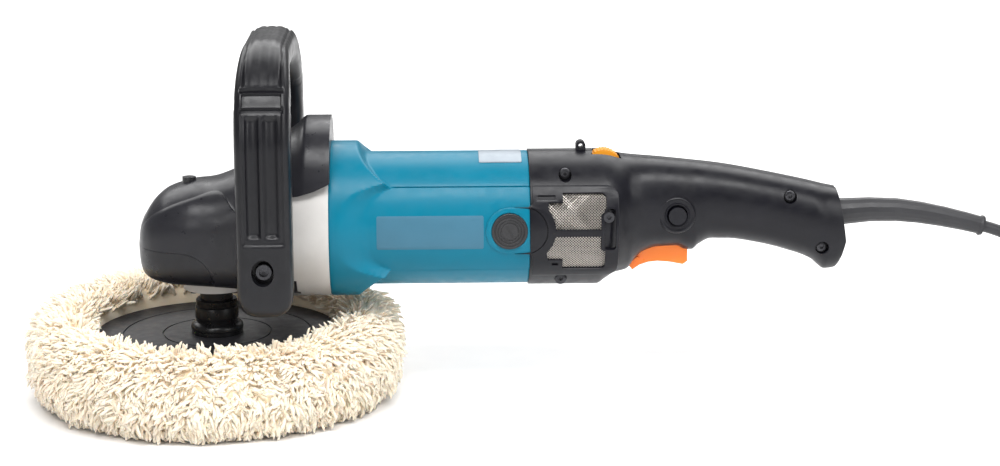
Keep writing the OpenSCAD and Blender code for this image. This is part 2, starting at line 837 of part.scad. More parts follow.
module handle_screws() {
    color([0.3, 0.3, 0.31]) for (i = [0:3])
        translate([screw_places[i][0], -screw_half[i] + 1.4, screw_places[i][1]])
            screw_y(3.5, 2.6, 1.69, 2 * screw_half[i] - 9, 1.6);
}

module vent_openings(ri, ro) {
    for (a = [[-112, -92.5], [-87, -64]])
        patch_x(vent_x0 + 12, vent_x1 - 10, ri, ro, a[0], a[1]);
}

module vent_covers() {
    color([0.1, 0.1, 0.1]) both_sides() difference() {
        patch_x(vent_x0, vent_x1, vent_in, vent_out, -90 - vent_angle, -90 + vent_angle);
        vent_openings(vent_in - 1, vent_out + 1);
        rod_y(-50, -30, 2.1, vent_x1 - 4.5, motor_z + 9);
        rod_y(-50, 1.9 - vent_out, 3.7, vent_x1 - 4.5, motor_z + 9);
    }
}

module vent_meshes() {
    color([0.7, 0.68, 0.64]) both_sides() difference() {
        patch_x(vent_x0 + 9, vent_x1 - 7.5, vent_in - 1, vent_in - 0.2, -90 - 26, -90 + 29);
        for (x = [vent_x0 + 14:6:vent_x1 - 12], a = [-110:6:-64])
            if (abs(a + 90) > 4) patch_x(x, x + 3, vent_in - 2, vent_in, a, a + 3);
    }
}

module vent_screws() {
    color([0.25, 0.25, 0.26]) both_sides()
        translate([vent_x1 - 4.5, -vent_out - 0.4, motor_z + 9]) screw_y(3.6, 2.4, 2, 9, 1.6);
}

module top_lug() {
    color([0.14, 0.14, 0.15]) difference() {
        union() {
            block(244.2, 250.8, -3.8, 3.8, 163.2, 170);
            rod_y(-3.8, 3.8, 3.3, 247.5, 170);
        }
        rod_y(-5, 5, 1.5, 247.5, 170);
    }
}

module switch_body() {
    color([0.15, 0.15, 0.16]) union() {
        block(290, 326, -9, 9, 109.5, 122);
        block(296, 304, -3, 3, 107.4, 110);
    }
}

// Trigger: a curved paddle on a cross pin at its front end
module trigger() {
    color([0.95, 0.5, 0.1]) difference() {
        union() {
            translate([0, 7.4, 0]) rotate([90, 0, 0]) linear_extrude(height = 14.8)
                polygon([[280.6, 88], [283, 84.8], [288, 88.2], [294, 90.2], [300, 90.8],
                    [308, 90.2], [317.5, 88.4], [320.5, 90.5], [320.5, 102], [312, 103.6],
                    [300, 102.9], [290, 100.2], [284, 96.5], [281.2, 93]]);
            rod_y(-11, 11, 1.8, trigger_x, trigger_z);
        }
        rod_z(97.5, 105, 3.2, 312);
    }
}

module trigger_spring() {
    color("silver") translate([312, 0, 98]) spring(2.3, 0.35, 5, 11);
}

module lock_button() {
    color([0.12, 0.12, 0.12]) union() {
        rod_y(-29.5, -17, lock_r, lock_x, lock_z);
        rod_y(-17.5, -13, 3, lock_x, lock_z);
    }
}

module lock_spring() {
    color("silver") translate([lock_x, -16.6, lock_z]) rotate([-90, 0, 0])
        spring(4.2, 0.4, 3, 6.4);
}

module speed_dial() {
    color([0.95, 0.62, 0.15]) union() {
        translate([dial_x, 5, dial_z]) rotate([90, 0, 0]) linear_extrude(height = 10)
            polygon([for (i = [0:71]) let (r = dial_r - (i % 2) * 0.5)
                [r * cos(i * 5), r * sin(i * 5)]]);
        rod_y(-9, 9, 2, dial_x, dial_z);
    }
}

module speed_controller() {
    color([0.1, 0.35, 0.2]) difference() {
        union() {
            block(240, 276, -12, 12, 138, 140);
            both_sides() block(dial_x - 4, dial_x + 4, 6.2, 9.4, 139, dial_z + 4);
            block(242, 250, -8, 8, 139, 146);
        }
        rod_y(-15, 15, 2 + fit, dial_x, dial_z);
        rod_y(-5.8, 5.8, dial_r + 0.6, dial_x, dial_z);
    }
}

module cord_guard() {
    color([0.1, 0.1, 0.1]) union() {
        tube(guard_path, guard_radius, 16);
        tube([[521, 0, 112.6], [522.5, 0, 112.2], [524, 0, 111.8]], [6.2, 7.2, 6.6], 16);
        rod_x(413, 421.5, 11, 122.5);
    }
}

module cord_clamp() {
    color([0.12, 0.12, 0.12]) difference() {
        block(396, 404, -12, 12, 112, 117.5);
        rod_x(395, 405, 4.4, 119);
        both_sides() rod_z(111, 119, 1.8, 400, 8.5);
    }
}

// ---- Cord and plug ----

module cord() {
    color([0.1, 0.1, 0.1]) {
        tube(lead_route, [for (p = lead_route) cord_d / 2]);
        tube(tail_route, [for (p = tail_route) cord_d / 2]);
    }
}

module cord_coil() {
    r = coil_w / 2;
    color([0.1, 0.1, 0.1]) translate([coil_x, 0, 0]) rotate_extrude() translate([coil_mid_r, r])
        polygon([[-r, -r + 3], [-r + 3, -r], [r - 3, -r], [r, -r + 3], [r, r - 3],
            [r - 3, r], [-r + 3, r], [-r, r - 3]]);
}

module plug_body() {
    color([0.1, 0.1, 0.1]) translate([plug_x, plug_y, plug_z]) rotate([90, 0, 0]) union() {
        cylinder(h = 22, r1 = 5.6, r2 = 8);
        hull() {
            translate([0, 0, 20]) cylinder(h = 2, r = 8, $fn = 32);
            translate([0, 0, 32]) linear_extrude(height = 2) plug_outline(18, 12.6);
        }
        translate([0, 0, 33]) linear_extrude(height = 19) plug_outline(18, 12.6);
    }
}

// Plug face: two half rounds joined by a straight waist
module plug_outline(half_w, half_h) {
    square([2 * (half_w - half_h), 2 * half_h], center = true);
    for (s = [-1, 1]) translate([s * (half_w - half_h), 0]) circle(r = half_h);
}

module plug_pins() {
    color([0.8, 0.8, 0.8]) for (s = [-1, 1])
        translate([plug_x + s * pin_pitch / 2, plug_y - 52, plug_z]) rotate([90, 0, 0])
            cylinder(h = 19, r = pin_r);
}

gear_housing();
head_cover();
gear_housing_cover();
motor_housing();
handle_left();
handle_right();
vent_covers();
vent_meshes();
vent_screws();
side_panels();
rating_plate();
brush_caps();
brush_holders();
carbon_brushes();
brush_springs();
stator_core();
field_coils();
baffle_plate();
rear_bearing();
front_bearing();
idler_bearings();
spindle_lower_bearing();
spindle_upper_bearing();
bearing_box();
bearing_box_screws();
gear_cover_screws();
loop_handle();
loop_bolts();
loop_spacers();
switch_body();
trigger();
trigger_spring();
lock_button();
lock_spring();
speed_dial();
speed_controller();
top_lug();
cord_guard();
cord_clamp();
handle_screws();
cord();
cord_coil();
plug_body();
plug_pins();
shaft_lock_button();
shaft_lock_spring();
spindle();
bevel_gear();
pad_hub();
backing_pad();
bonnet();
idler_shaft();
reduction_gear();
bevel_pinion();
armature_shaft();
armature_core();
armature_windings();
commutator();
cooling_fan();
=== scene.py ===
"""Looks of the rotary polisher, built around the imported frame.

Lengths are millimetres until a mesh is made.
"""
import json
import math

import bmesh
import bpy
import numpy as np
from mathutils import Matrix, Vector


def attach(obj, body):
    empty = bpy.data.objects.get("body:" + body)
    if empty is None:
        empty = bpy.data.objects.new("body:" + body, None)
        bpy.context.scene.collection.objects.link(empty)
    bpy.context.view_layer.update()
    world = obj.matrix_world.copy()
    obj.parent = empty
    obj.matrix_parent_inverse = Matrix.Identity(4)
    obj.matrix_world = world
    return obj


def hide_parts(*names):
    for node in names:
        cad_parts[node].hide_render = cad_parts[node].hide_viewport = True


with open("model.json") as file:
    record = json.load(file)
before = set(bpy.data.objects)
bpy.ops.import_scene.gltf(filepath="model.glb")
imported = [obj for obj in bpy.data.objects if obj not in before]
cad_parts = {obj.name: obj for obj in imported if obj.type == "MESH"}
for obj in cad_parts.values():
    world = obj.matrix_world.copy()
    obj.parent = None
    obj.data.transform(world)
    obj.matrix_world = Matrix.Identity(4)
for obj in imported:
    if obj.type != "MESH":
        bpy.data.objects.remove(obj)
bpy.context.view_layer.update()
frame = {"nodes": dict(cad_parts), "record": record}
nodes = frame["nodes"]

MM = 0.001
MOTOR_Z = 121.0
MOTOR_R = 46.0
FLANGE_R = 52.4
CORD_D = 8.0

scene = bpy.context.scene

# ---- Camera and lights ----

CAMERA_AIM = np.array([193.3, 0.0, 109.4])
CAMERA_DISTANCE = 1500.0
CAMERA_AZIMUTH = math.radians(-2.1)
CAMERA_ELEVATION = math.radians(13.0)
CAMERA_LENS = 79.4


def make_camera():
    back = np.array([
        math.sin(CAMERA_AZIMUTH) * math.cos(CAMERA_ELEVATION),
        -math.cos(CAMERA_AZIMUTH) * math.cos(CAMERA_ELEVATION),
        math.sin(CAMERA_ELEVATION),
    ])
    data = bpy.data.cameras.new("camera")
    data.lens = CAMERA_LENS
    data.sensor_width = 36.0
    data.clip_start = 0.05
    data.clip_end = 50.0
    camera = bpy.data.objects.new("camera", data)
    camera.location = Vector((CAMERA_AIM + CAMERA_DISTANCE * back) * MM)
    camera.rotation_mode = "QUATERNION"
    camera.rotation_quaternion = Vector(-back).to_track_quat("-Z", "Y")
    scene.collection.objects.link(camera)
    scene.camera = camera


def area_light(name, place, aim, size, energy, colour=(1, 1, 1)):
    data = bpy.data.lights.new(name, "AREA")
    data.shape = "RECTANGLE"
    data.size, data.size_y = size
    data.energy = energy
    data.color = colour
    lamp = bpy.data.objects.new(name, data)
    lamp.location = place
    lamp.rotation_mode = "QUATERNION"
    lamp.rotation_quaternion = (Vector(aim) - Vector(place)).to_track_quat("-Z", "Y")
    scene.collection.objects.link(lamp)


def make_light():
    world = bpy.data.worlds.new("studio")
    world.use_nodes = True
    background = world.node_tree.nodes["Background"]
    background.inputs["Color"].default_value = (1.0, 1.0, 1.0, 1)
    shown = add(world.node_tree, "ShaderNodeLightPath").outputs["Is Camera Ray"]
    strength = add(world.node_tree, "ShaderNodeMapRange")
    strength.inputs["To Min"].default_value = 0.25
    strength.inputs["To Max"].default_value = 1.0
    world.node_tree.links.new(shown, strength.inputs["Value"])
    world.node_tree.links.new(strength.outputs["Result"], background.inputs["Strength"])
    scene.world = world
    centre = (0.2, 0.0, 0.1)
    area_light("top_softbox", (0.2, -0.75, 1.25), centre, (1.5, 0.5), 24.0)
    area_light("front_fill", (-0.6, -1.6, 0.7), centre, (0.6, 0.6), 4.0)
    area_light("right_strip", (1.15, -0.9, 0.75), centre, (0.3, 0.9), 5.0)
    area_light("back_wash", (0.2, 1.9, 1.7), (0.2, 1.9, 0.0), (4.5, 2.6), 112.0)
    scene.view_settings.view_transform = "Standard"


# ---- Materials ----

def add(tree, kind, **settings):
    node = tree.nodes.new(kind)
    for name, value in settings.items():
        setattr(node, name, value)
    return node


def noise(tree, coords, scale, detail=3.0, rough=0.55):
    n = add(tree, "ShaderNodeTexNoise")
    n.inputs["Scale"].default_value = scale
    n.inputs["Detail"].default_value = detail
    n.inputs["Roughness"].default_value = rough
    tree.links.new(coords, n.inputs["Vector"])
    return n.outputs["Fac"]


def remap(tree, value, low, high, start=0.3, end=0.7):
    m = add(tree, "ShaderNodeMapRange")
    for name, v in (("From Min", start), ("From Max", end), ("To Min", low), ("To Max", high)):
        m.inputs[name].default_value = v
    tree.links.new(value, m.inputs["Value"])
    return m.outputs["Result"]


def mix_colour(tree, factor, a, b):
    m = add(tree, "ShaderNodeMix", data_type="RGBA")
    tree.links.new(factor, m.inputs[0])
    for socket, value in ((m.inputs[6], a), (m.inputs[7], b)):
        if isinstance(value, tuple):
            socket.default_value = value
        else:
            tree.links.new(value, socket)
    return m.outputs[2]


def bump(tree, height, strength, distance, below=None):
    b = add(tree, "ShaderNodeBump")
    b.inputs["Strength"].default_value = strength
    b.inputs["Distance"].default_value = distance
    tree.links.new(height, b.inputs["Height"])
    if below is not None:
        tree.links.new(below, b.inputs["Normal"])
    return b.outputs["Normal"]


def material(name, colour, rough, metal=0.0, grain=900.0, depth=0.15, vary=0.12,
             coat=0.0, sheen=0.0, spread=0.08, blotch=45.0, subsurface=0.0, specular=0.5, root=None):
    """Principled surface with varied colour, uneven gloss and fine grain; root is painted shade, a darker,
    warmer colour mixed in towards the deep of a pile.
    """
    m = bpy.data.materials.new(name)
    m.use_nodes = True
    tree = m.node_tree
    shader = tree.nodes["Principled BSDF"]
    coords = add(tree, "ShaderNodeTexCoord").outputs["Object"]
    cloud = noise(tree, coords, blotch)
    dark = tuple(c * (1 - vary) for c in colour) + (1,)
    pale = tuple(min(c * (1 + vary), 1.0) for c in colour) + (1,)
    shade = mix_colour(tree, remap(tree, cloud, 0.0, 1.0), dark, pale)
    # painted shade: the root colour darkens and warms the pile towards its strand roots, where the tip
    # attribute is low
    if root:
        tip = add(tree, "ShaderNodeAttribute", attribute_name="tip").outputs["Fac"]
        shade = mix_colour(tree, remap(tree, tip, 0.0, 1.0, 0.0, 0.8), root + (1,), shade)
    tree.links.new(shade, shader.inputs["Base Color"])
    fine = noise(tree, coords, grain, 2.0)
    gloss = remap(tree, noise(tree, coords, blotch * 3.1), rough - spread, rough + spread)
    tree.links.new(gloss, shader.inputs["Roughness"])
    if depth:
        tree.links.new(bump(tree, fine, depth, 0.0004), shader.inputs["Normal"])
    shader.inputs["Metallic"].default_value = metal
    shader.inputs["Specular IOR Level"].default_value = specular
    shader.inputs["Coat Weight"].default_value = coat
    shader.inputs["Coat Roughness"].default_value = 0.12
    shader.inputs["Sheen Weight"].default_value = sheen
    shader.inputs["Subsurface Weight"].default_value = subsurface
    shader.inputs["Subsurface Radius"].default_value = (0.006, 0.005, 0.004)
    return m


FINISHES = {
    "black_casting": dict(specular=0.34, colour=(0.012, 0.012, 0.015), rough=0.33, grain=1500, depth=0.02),
    "satin_black_plastic": dict(specular=0.34, colour=(0.016, 0.016, 0.020), rough=0.34,
                                grain=1600, depth=0.02),
    "cast_aluminium": dict(colour=(0.58, 0.565, 0.545), rough=0.5, metal=0.1,
                           grain=1800, depth=0.2, vary=0.05),
    "teal_plastic": dict(colour=(0.0, 0.150, 0.236), specular=0.22, rough=0.36,
                         grain=900, depth=0.012, vary=0.03),
    "black_plastic": dict(specular=0.30, colour=(0.005, 0.005, 0.008), rough=0.36, grain=1500, depth=0.05),
    "vent_mesh_steel": dict(colour=(0.50, 0.47, 0.43), rough=0.38, metal=0.9, grain=1200, depth=0.05),
    "dark_steel": dict(colour=(0.05, 0.05, 0.055), rough=0.32, metal=0.8, grain=900, depth=0.08),
    "blank_panel": dict(colour=(0.045, 0.150, 0.225), specular=0.3, rough=0.5,
                        grain=1700, depth=0.06, vary=0.03),
    "blank_label": dict(colour=(0.27, 0.31, 0.35), rough=0.40, metal=0.3, grain=900, depth=0.03, vary=0.05),
    "cap_plastic": dict(specular=0.36, colour=(0.024, 0.024, 0.026), rough=0.30, grain=1300, depth=0.08),
    "brass": dict(colour=(0.70, 0.50, 0.22), rough=0.3, metal=1.0, depth=0.05),
    "carbon": dict(colour=(0.04, 0.04, 0.04), rough=0.6, depth=0.1),
    "spring_steel": dict(colour=(0.55, 0.55, 0.56), rough=0.25, metal=1.0, depth=0.03),
    "laminated_steel": dict(colour=(0.33, 0.34, 0.36), rough=0.4, metal=1.0, depth=0.1),
    "copper": dict(colour=(0.62, 0.27, 0.12), rough=0.3, metal=1.0, depth=0.08),
    "bearing_steel": dict(colour=(0.62, 0.62, 0.64), rough=0.22, metal=1.0, depth=0.04),
    "grip_rubber": dict(specular=0.34, colour=(0.006, 0.006, 0.008), rough=0.36,
                        grain=1300, depth=0.06, vary=0.15),
    "orange_plastic": dict(colour=(1.0, 0.21, 0.008), rough=0.35, grain=1100, depth=0.05,
                           vary=0.03, coat=0.1),
    "amber_plastic": dict(colour=(0.86, 0.33, 0.022), rough=0.35, grain=1100, depth=0.05,
                          vary=0.04, coat=0.1),
    "circuit_board": dict(colour=(0.02, 0.15, 0.06), rough=0.35, depth=0.1),
    "cord_rubber": dict(specular=0.36, colour=(0.030, 0.030, 0.033), rough=0.42,
                        grain=1200, depth=0.15, vary=0.15),
    "plated_pins": dict(colour=(0.72, 0.72, 0.72), rough=0.14, metal=1.0, depth=0.02),
    "hub_plastic": dict(specular=0.34, colour=(0.008, 0.008, 0.009), rough=0.30, grain=1400, depth=0.1),
    "pad_rubber": dict(specular=0.28, colour=(0.020, 0.020, 0.023), rough=0.46,
                       grain=1300, depth=0.18, vary=0.12),
    # wool: root is a painted shade colour for the deep of the pile
    "wool": dict(colour=(0.96, 0.84, 0.69), root=(0.94, 0.75, 0.50), rough=0.85, grain=700, depth=0.5,
                 vary=0.05, sheen=0.4, subsurface=0.45, spread=0.05, blotch=24.0, specular=0.12),
}
finishes = {}


def finish(slot):
    if slot not in finishes:
        finishes[slot] = material(slot, **FINISHES[slot])
    return finishes[slot]


# ---- Mesh helpers ----

def full_turn(count):
    return np.linspace(0, 2 * math.pi, count, endpoint=False)


def distances(path):
    """Distance along a path at each of its points."""
    return np.concatenate([[0], np.cumsum(np.linalg.norm(np.diff(path, axis=0), axis=1))])


def unit_rows(vectors):
    return vectors / np.linalg.norm(vectors, axis=1)[:, None]


def piece_of(name, mesh, slot, body, replaces, sharp, ride):
    """Piece of a finished mesh, riding on a body and finished as its record slot."""
    mesh.polygons.foreach_set("use_smooth", [True] * len(mesh.polygons))
    mesh.set_sharp_from_angle(angle=math.radians(sharp))
    mesh.materials.clear()
    mesh.materials.append(finish(slot))
    piece = bpy.data.objects.new(name, mesh)
    scene.collection.objects.link(piece)
    if ride:
        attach(piece, body)
        if replaces:
            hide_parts(*replaces)
    return piece


def shape(name, points, faces, slot, body, replaces=(), sharp=38.0, ride=True):
    """Piece from points in millimetres."""
    mesh = bpy.data.meshes.new(name)
    mesh.from_pydata([tuple(p) for p in np.asarray(points, float) * MM], [], [tuple(f) for f in faces])
    mesh.validate()
    mesh.update()
    return piece_of(name, mesh, slot, body, replaces, sharp, ride)


def grid_faces(rows, cols, wrap_rows=False, wrap_cols=False, flip=False, start=0):
    r, c = np.meshgrid(np.arange(rows if wrap_rows else rows - 1), np.arange(cols if wrap_cols else cols - 1),
                       indexing="ij")
    r, c = r.ravel(), c.ravel()
    r1, c1 = (r + 1) % rows, (c + 1) % cols
    quads = np.stack([r * cols + c, r * cols + c1, r1 * cols + c1, r1 * cols + c], 1) + start
    return quads[:, ::-1] if flip else quads


def skin(rings, caps=True, flip=False):
    """Points and faces of a closed skin over rings that all have the same number of points."""
    rings = np.asarray(rings, float)
    rows, cols = rings.shape[:2]
    points = rings.reshape(-1, 3)
    faces = [tuple(f) for f in grid_faces(rows, cols, wrap_cols=True, flip=flip)]
    if caps:
        first, last = list(range(cols)), list(range((rows - 1) * cols, rows * cols))
        faces += [tuple(first if flip else first[::-1]), tuple(last[::-1] if flip else last)]
    return points, faces


def merged(*parts):
    """Several (points, faces) as one."""
    points, faces, start = [], [], 0
    for p, f in parts:
        points.append(np.asarray(p, float))
        faces += [tuple(int(i) + start for i in face) for face in f]
        start += len(p)
    return np.concatenate(points), faces


def lathe(profile, steps=96, axis="z", centre=(0, 0, 0)):
    """Turned solid: profile is (radius, place along the axis), closed on itself."""
    a = full_turn(steps)
    profile = np.asarray(profile, float)
    r, h = profile[:, 0][:, None], profile[:, 1][:, None] + 0 * a
    u, v = r * np.cos(a), r * np.sin(a)
    rings = {"z": (u, v, h), "x": (h, u, v), "y": (v, h, u)}[axis]
    points = np.stack(rings, -1).reshape(-1, 3) + np.asarray(centre, float)
    return points, [tuple(f) for f in grid_faces(len(profile), steps, wrap_rows=True, wrap_cols=True)]


def hermite(t, step, start, end, leave, arrive):
    """Cubic between two values with the slopes it leaves and arrives with."""
    return ((1 + 2 * t) * (1 - t) ** 2 * start + t * (1 - t) ** 2 * step * leave
            + t * t * (3 - 2 * t) * end + t * t * (t - 1) * step * arrive)


def eased(x, places, values):
    """Smooth curve through the values that never overshoots them."""
    places, values = np.asarray(places, float), np.asarray(values, float)
    step, rise = np.diff(places), np.diff(values)
    slope = rise / step
    tangent = np.zeros(len(places))
    tangent[0], tangent[-1] = slope[0], slope[-1]
    for i in range(1, len(places) - 1):
        if slope[i - 1] * slope[i] > 0:
            w0, w1 = 2 * step[i] + step[i - 1], step[i] + 2 * step[i - 1]
            tangent[i] = (w0 + w1) / (w0 / slope[i - 1] + w1 / slope[i])
    x = np.clip(np.asarray(x, float), places[0], places[-1])
    k = np.clip(np.searchsorted(places, x, side="right") - 1, 0, len(step) - 1)
    t = (x - places[k]) / step[k]
    return hermite(t, step[k], values[k], values[k + 1], tangent[k], tangent[k + 1])


def stands_for(side, node):
    """The CAD node of a mirrored pair of pieces is replaced by the near one, once."""
    return [node] if side < 0 else []


def smooth_line(points, count):
    """Even points on a smooth curve through the given ones."""
    points = np.asarray(points, float)
    along = distances(points)
    m = np.zeros_like(points)
    m[1:-1] = (points[2:] - points[:-2]) / (along[2:] - along[:-2])[:, None]
    m[0], m[-1] = (points[1] - points[0]) / (along[1]), (points[-1] - points[-2]) / (along[-1] - along[-2])
    s = np.linspace(0, along[-1], count)
    k = np.clip(np.searchsorted(along, s, side="right") - 1, 0, len(along) - 2)
    h = (along[k + 1] - along[k])[:, None]
    t = ((s - along[k]) / h[:, 0])[:, None]
    return hermite(t, h, points[k], points[k + 1], m[k], m[k + 1])


def smoothstep(x, low, high):
    t = np.clip((np.asarray(x, float) - low) / (np.asarray(high, float) - low), 0, 1)
    return t * t * (3 - 2 * t)


def tube(path, radii, sides=20, caps=True):
    """Round tube along a path, carried along without twist."""
    path = np.asarray(path, float)
    radii = np.broadcast_to(np.asarray(radii, float), (len(path),))
    tangent = unit_rows(np.gradient(path, axis=0))
    side = np.cross(tangent[0], [0.0, 0.3, 1.0])
    rings = []
    for p, t, r in zip(path, tangent, radii):
        side = side - t * np.dot(side, t)
        side /= np.linalg.norm(side)
        other = np.cross(t, side)
        a = full_turn(sides)[:, None]
        rings.append(p + r * (np.cos(a) * side + np.sin(a) * other))
    return skin(rings, caps, flip=True)


def cut(piece, *cutters):
    """Subtracts closed shapes from a piece: objects, or (points, faces) in millimetres."""
    for cutter in cutters:
        tool = cutter
        if not isinstance(cutter, bpy.types.Object):
            tool = shape("cutter", *cutter, "black_plastic", None, ride=False)
        modifier = piece.modifiers.new("cut", "BOOLEAN")
        modifier.operation = "DIFFERENCE"
        modifier.solver = "EXACT"
        modifier.object = tool
        fresh = bpy.data.meshes.new_from_object(piece.evaluated_get(bpy.context.evaluated_depsgraph_get()))
        piece.modifiers.clear()
        old = piece.data
        piece.data = fresh
        bpy.data.meshes.remove(old)
        bpy.data.objects.remove(tool)
    while len(piece.data.materials) > 1:
        piece.data.materials.pop(index=len(piece.data.materials) - 1)
    piece.data.set_sharp_from_angle(angle=math.radians(38))
    return piece


make_camera()
make_light()

# ---- Cord: lead from the guard, coil, tail, plug ----

LEAD_ROUTE = [[524, 0, 111.8], [536, 0, 108], [548, 2, 102], [559, 6, 94], [568, 11, 84],
              [576, 18, 72], [583, 25, 60], [590, 32, 48], [598, 39, 37], [608, 46, 27], [620, 52, 20]]
TAIL_ROUTE = [[672, 0, 4], [672, -8, 4.2], [672.6, -18, 6], [673.4, -29, 9.6], [674, -40, 12.4],
              [674, -46, 13]]
COIL_X = 620.0
COIL_SEATS = [(52, 20), (44, 20), (36, 20), (36, 12), (36, 4), (44, 4), (44, 12), (52, 12), (52, 4)]
COIL_TURNS = 8.25


def coil_route(steps_per_turn=36):
    """Round and round: each turn keeps its seat, then slips over to the next one in the last third."""
    route = []
    for i in range(1, int(COIL_TURNS * steps_per_turn) + 1):
        turn = i / steps_per_turn
        k = min(int(turn), len(COIL_SEATS) - 1)
        slip = smoothstep(turn - k, 0.45, 1.0) if k < len(COIL_SEATS) - 1 else 0.0
        after = min(k + 1, len(COIL_SEATS) - 1)
        seat = np.array(COIL_SEATS[k]) * (1 - slip) + np.array(COIL_SEATS[after]) * slip
        a = math.pi / 2 - 2 * math.pi * turn
        route.append([COIL_X + seat[0] * math.cos(a), seat[0] * math.sin(a), seat[1]])
    return route


def make_cord():
    lead = smooth_line(LEAD_ROUTE, 24)
    tail = smooth_line(TAIL_ROUTE, 10)
    route = np.concatenate([lead, coil_route()[:-1], tail])
    start = np.array([[519.0, 0, 113.2]])
    route = np.concatenate([start, route])
    length = np.linalg.norm(np.diff(route[1:], axis=0), axis=1).sum()
    points, faces = tube(route, CORD_D / 2, 14)
    piece = shape("cord_lead", points, faces, "cord_rubber", "housing", ["cord", "cord_coil"], sharp=60)
    print("cord length", round(length, 1))
    return piece, route, length


PLUG_X, PLUG_Y, PLUG_Z = 674, -46, 13
PLUG_FULL, PLUG_GROOVE = (17.8, 12.6), (16.9, 11.8)


def plug_section(half_w, half_h, depth):
    """Section between an ellipse and a box, at a depth from the plug's cord end."""
    e = 2 / 2.9
    return [[PLUG_X + half_w * np.sign(math.cos(t)) * abs(math.cos(t)) ** e, PLUG_Y - depth,
             PLUG_Z + half_h * np.sign(math.sin(t)) * abs(math.sin(t)) ** e] for t in full_turn(40)]


def make_plug():
    """Moulded two-pin plug: ribbed strain relief, waist, finger ridges and a flat face."""
    rings = []
    for i in range(60):
        y = i * 0.4
        rib = 0.9 * (0.5 + 0.5 * math.cos(2 * math.pi * y / 4.0))
        r = 5.0 + 0.16 * y + rib
        rings.append(plug_section(r, r * 0.96, y))
    rings += [plug_section(w, h, y) for w, h, y in ((10.5, 9.4, 24.5), (13.4, 10.8, 27), (15.6, 11.6, 29),
                                                    (17, 12.2, 31), (*PLUG_FULL, 32.5))]
    for i in range(4):
        y = 33 + 3.2 * i
        rings += [plug_section(*PLUG_FULL, y), plug_section(*PLUG_FULL, y + 1.4),
                  plug_section(*PLUG_GROOVE, y + 1.7), plug_section(*PLUG_GROOVE, y + 2.9)]
    rings += [plug_section(w, h, y) for w, h, y in ((*PLUG_FULL, 46.5), (*PLUG_FULL, 50.6),
                                                    (17.2, 12.0, 51.6), (16, 10.9, 52))]
    return shape("plug_moulding", *skin(rings), "cord_rubber", "housing", ["plug_body"], sharp=30)


cord, cord_path, cord_length = make_cord()
plug = make_plug()

# ---- Motor housing ----

def on_motor(x, degrees, radius, side=-1):
    """Point on a cylinder about the motor axis: 0 degrees is level on that side, 90 is the top."""
    a = np.radians(degrees)
    return np.stack(np.broadcast_arrays(x, side * radius * np.cos(a), MOTOR_Z + radius * np.sin(a)), -1)


BAND = 37.5


def make_motor_housing():
    """Flange, flared shoulder and barrel with a proud band on each side, bounded by thin step lines."""
    line = np.array([-0.35, 0.35, 1.0, 1.7])
    half = np.concatenate([np.linspace(-90, -BAND - 3, 28), -(BAND + line)[::-1],
                           np.linspace(-BAND + 1.6, BAND - 1.6, 46), BAND + line,
                           np.linspace(BAND + 3, 90, 28)])
    angles = np.concatenate([half, (180 - half[::-1])[1:-1]])
    level = np.abs(np.where(angles > 90, 180 - angles, angles))
    in_band = 1 - smoothstep(level, BAND - 0.36, BAND + 0.36)
    xs = np.concatenate([[79, 79.25, 79.9], np.linspace(81, 95, 12), np.linspace(96, 124, 40),
                         np.linspace(125.5, 209, 34), [210.6, 211.2, 211.6]])
    flare = (1 - np.clip((level - BAND) / (90 - BAND), 0, 1)) ** 3
    blend = np.clip(level / BAND, 0, 1) ** 4
    start = np.where(level < BAND, 84.0 + 31.0 * blend, 96.5 + 18.5 * flare)
    toe = np.where(level < BAND, 106.0 + 15.0 * blend, 104.0 + 17.0 * flare)
    seam_line = 0.75 * np.exp(-((level - BAND - 0.95) / 0.5) ** 2)
    rings = []
    for x in xs:
        barrel = MOTOR_R - 1.0 + 1.0 * in_band - seam_line * smoothstep(x, 119, 123)
        shoulder = 1 - smoothstep(x, start, toe)
        radius = barrel + (FLANGE_R - barrel) * shoulder
        radius = radius - 0.8 * (1 - smoothstep(x, 78.6, 80.4)) - 0.5 * smoothstep(x, 210.8, 211.9)
        rings.append(on_motor(x, angles, radius))
    shape("motor_barrel", *skin(rings, flip=True), "teal_plastic", "housing", ["motor_housing"], sharp=24)


def wrapped_plate(name, outline, holes, low, high, slot, replaces=(), side=-1, sharp=30, soften=0.25,
                  step=2.5, tool=False):
    """Plate cut to a flat outline, (x, height along the skin), and wrapped onto the motor's cylinder."""
    curve = bpy.data.curves.new(name, "CURVE")
    curve.dimensions = "2D"
    curve.fill_mode = "BOTH"
    curve.extrude = (high - low) / 2
    curve.bevel_depth = soften
    curve.bevel_resolution = 1
    for loop in [outline, *holes]:
        spline = curve.splines.new("POLY")
        spline.points.add(len(loop) - 1)
        for point, (u, v) in zip(spline.points, loop):
            point.co = (u, v, 0, 1)
        spline.use_cyclic_u = True
    flat = bpy.data.objects.new(name, curve)
    scene.collection.objects.link(flat)
    mesh = bpy.data.meshes.new_from_object(flat.evaluated_get(bpy.context.evaluated_depsgraph_get()))
    bpy.data.objects.remove(flat)
    work = bmesh.new()
    work.from_mesh(mesh)
    bmesh.ops.remove_doubles(work, verts=work.verts, dist=0.001)
    heights = [v.co.y for v in work.verts]
    for cut_at in np.arange(min(heights) + step, max(heights), step):
        bmesh.ops.bisect_plane(work, geom=work.verts[:] + work.edges[:] + work.faces[:],
                               plane_co=(0, cut_at, 0), plane_no=(0, 1, 0))
    middle = (low + high) / 2
    for v in work.verts:
        radius = middle + v.co.z
        a = v.co.y / MOTOR_R
        v.co = (v.co.x * MM, side * radius * math.cos(a) * MM, (MOTOR_Z + radius * math.sin(a)) * MM)
    bmesh.ops.recalc_face_normals(work, faces=work.faces)
    work.to_mesh(mesh)
    work.free()
    return piece_of(name, mesh, slot, "housing", replaces, sharp, not tool)


def arc(cx, cy, r, start, end, n=12):
    a = np.radians(np.linspace(start, end, n))
    return [(cx + r * math.cos(t), cy + r * math.sin(t)) for t in a]


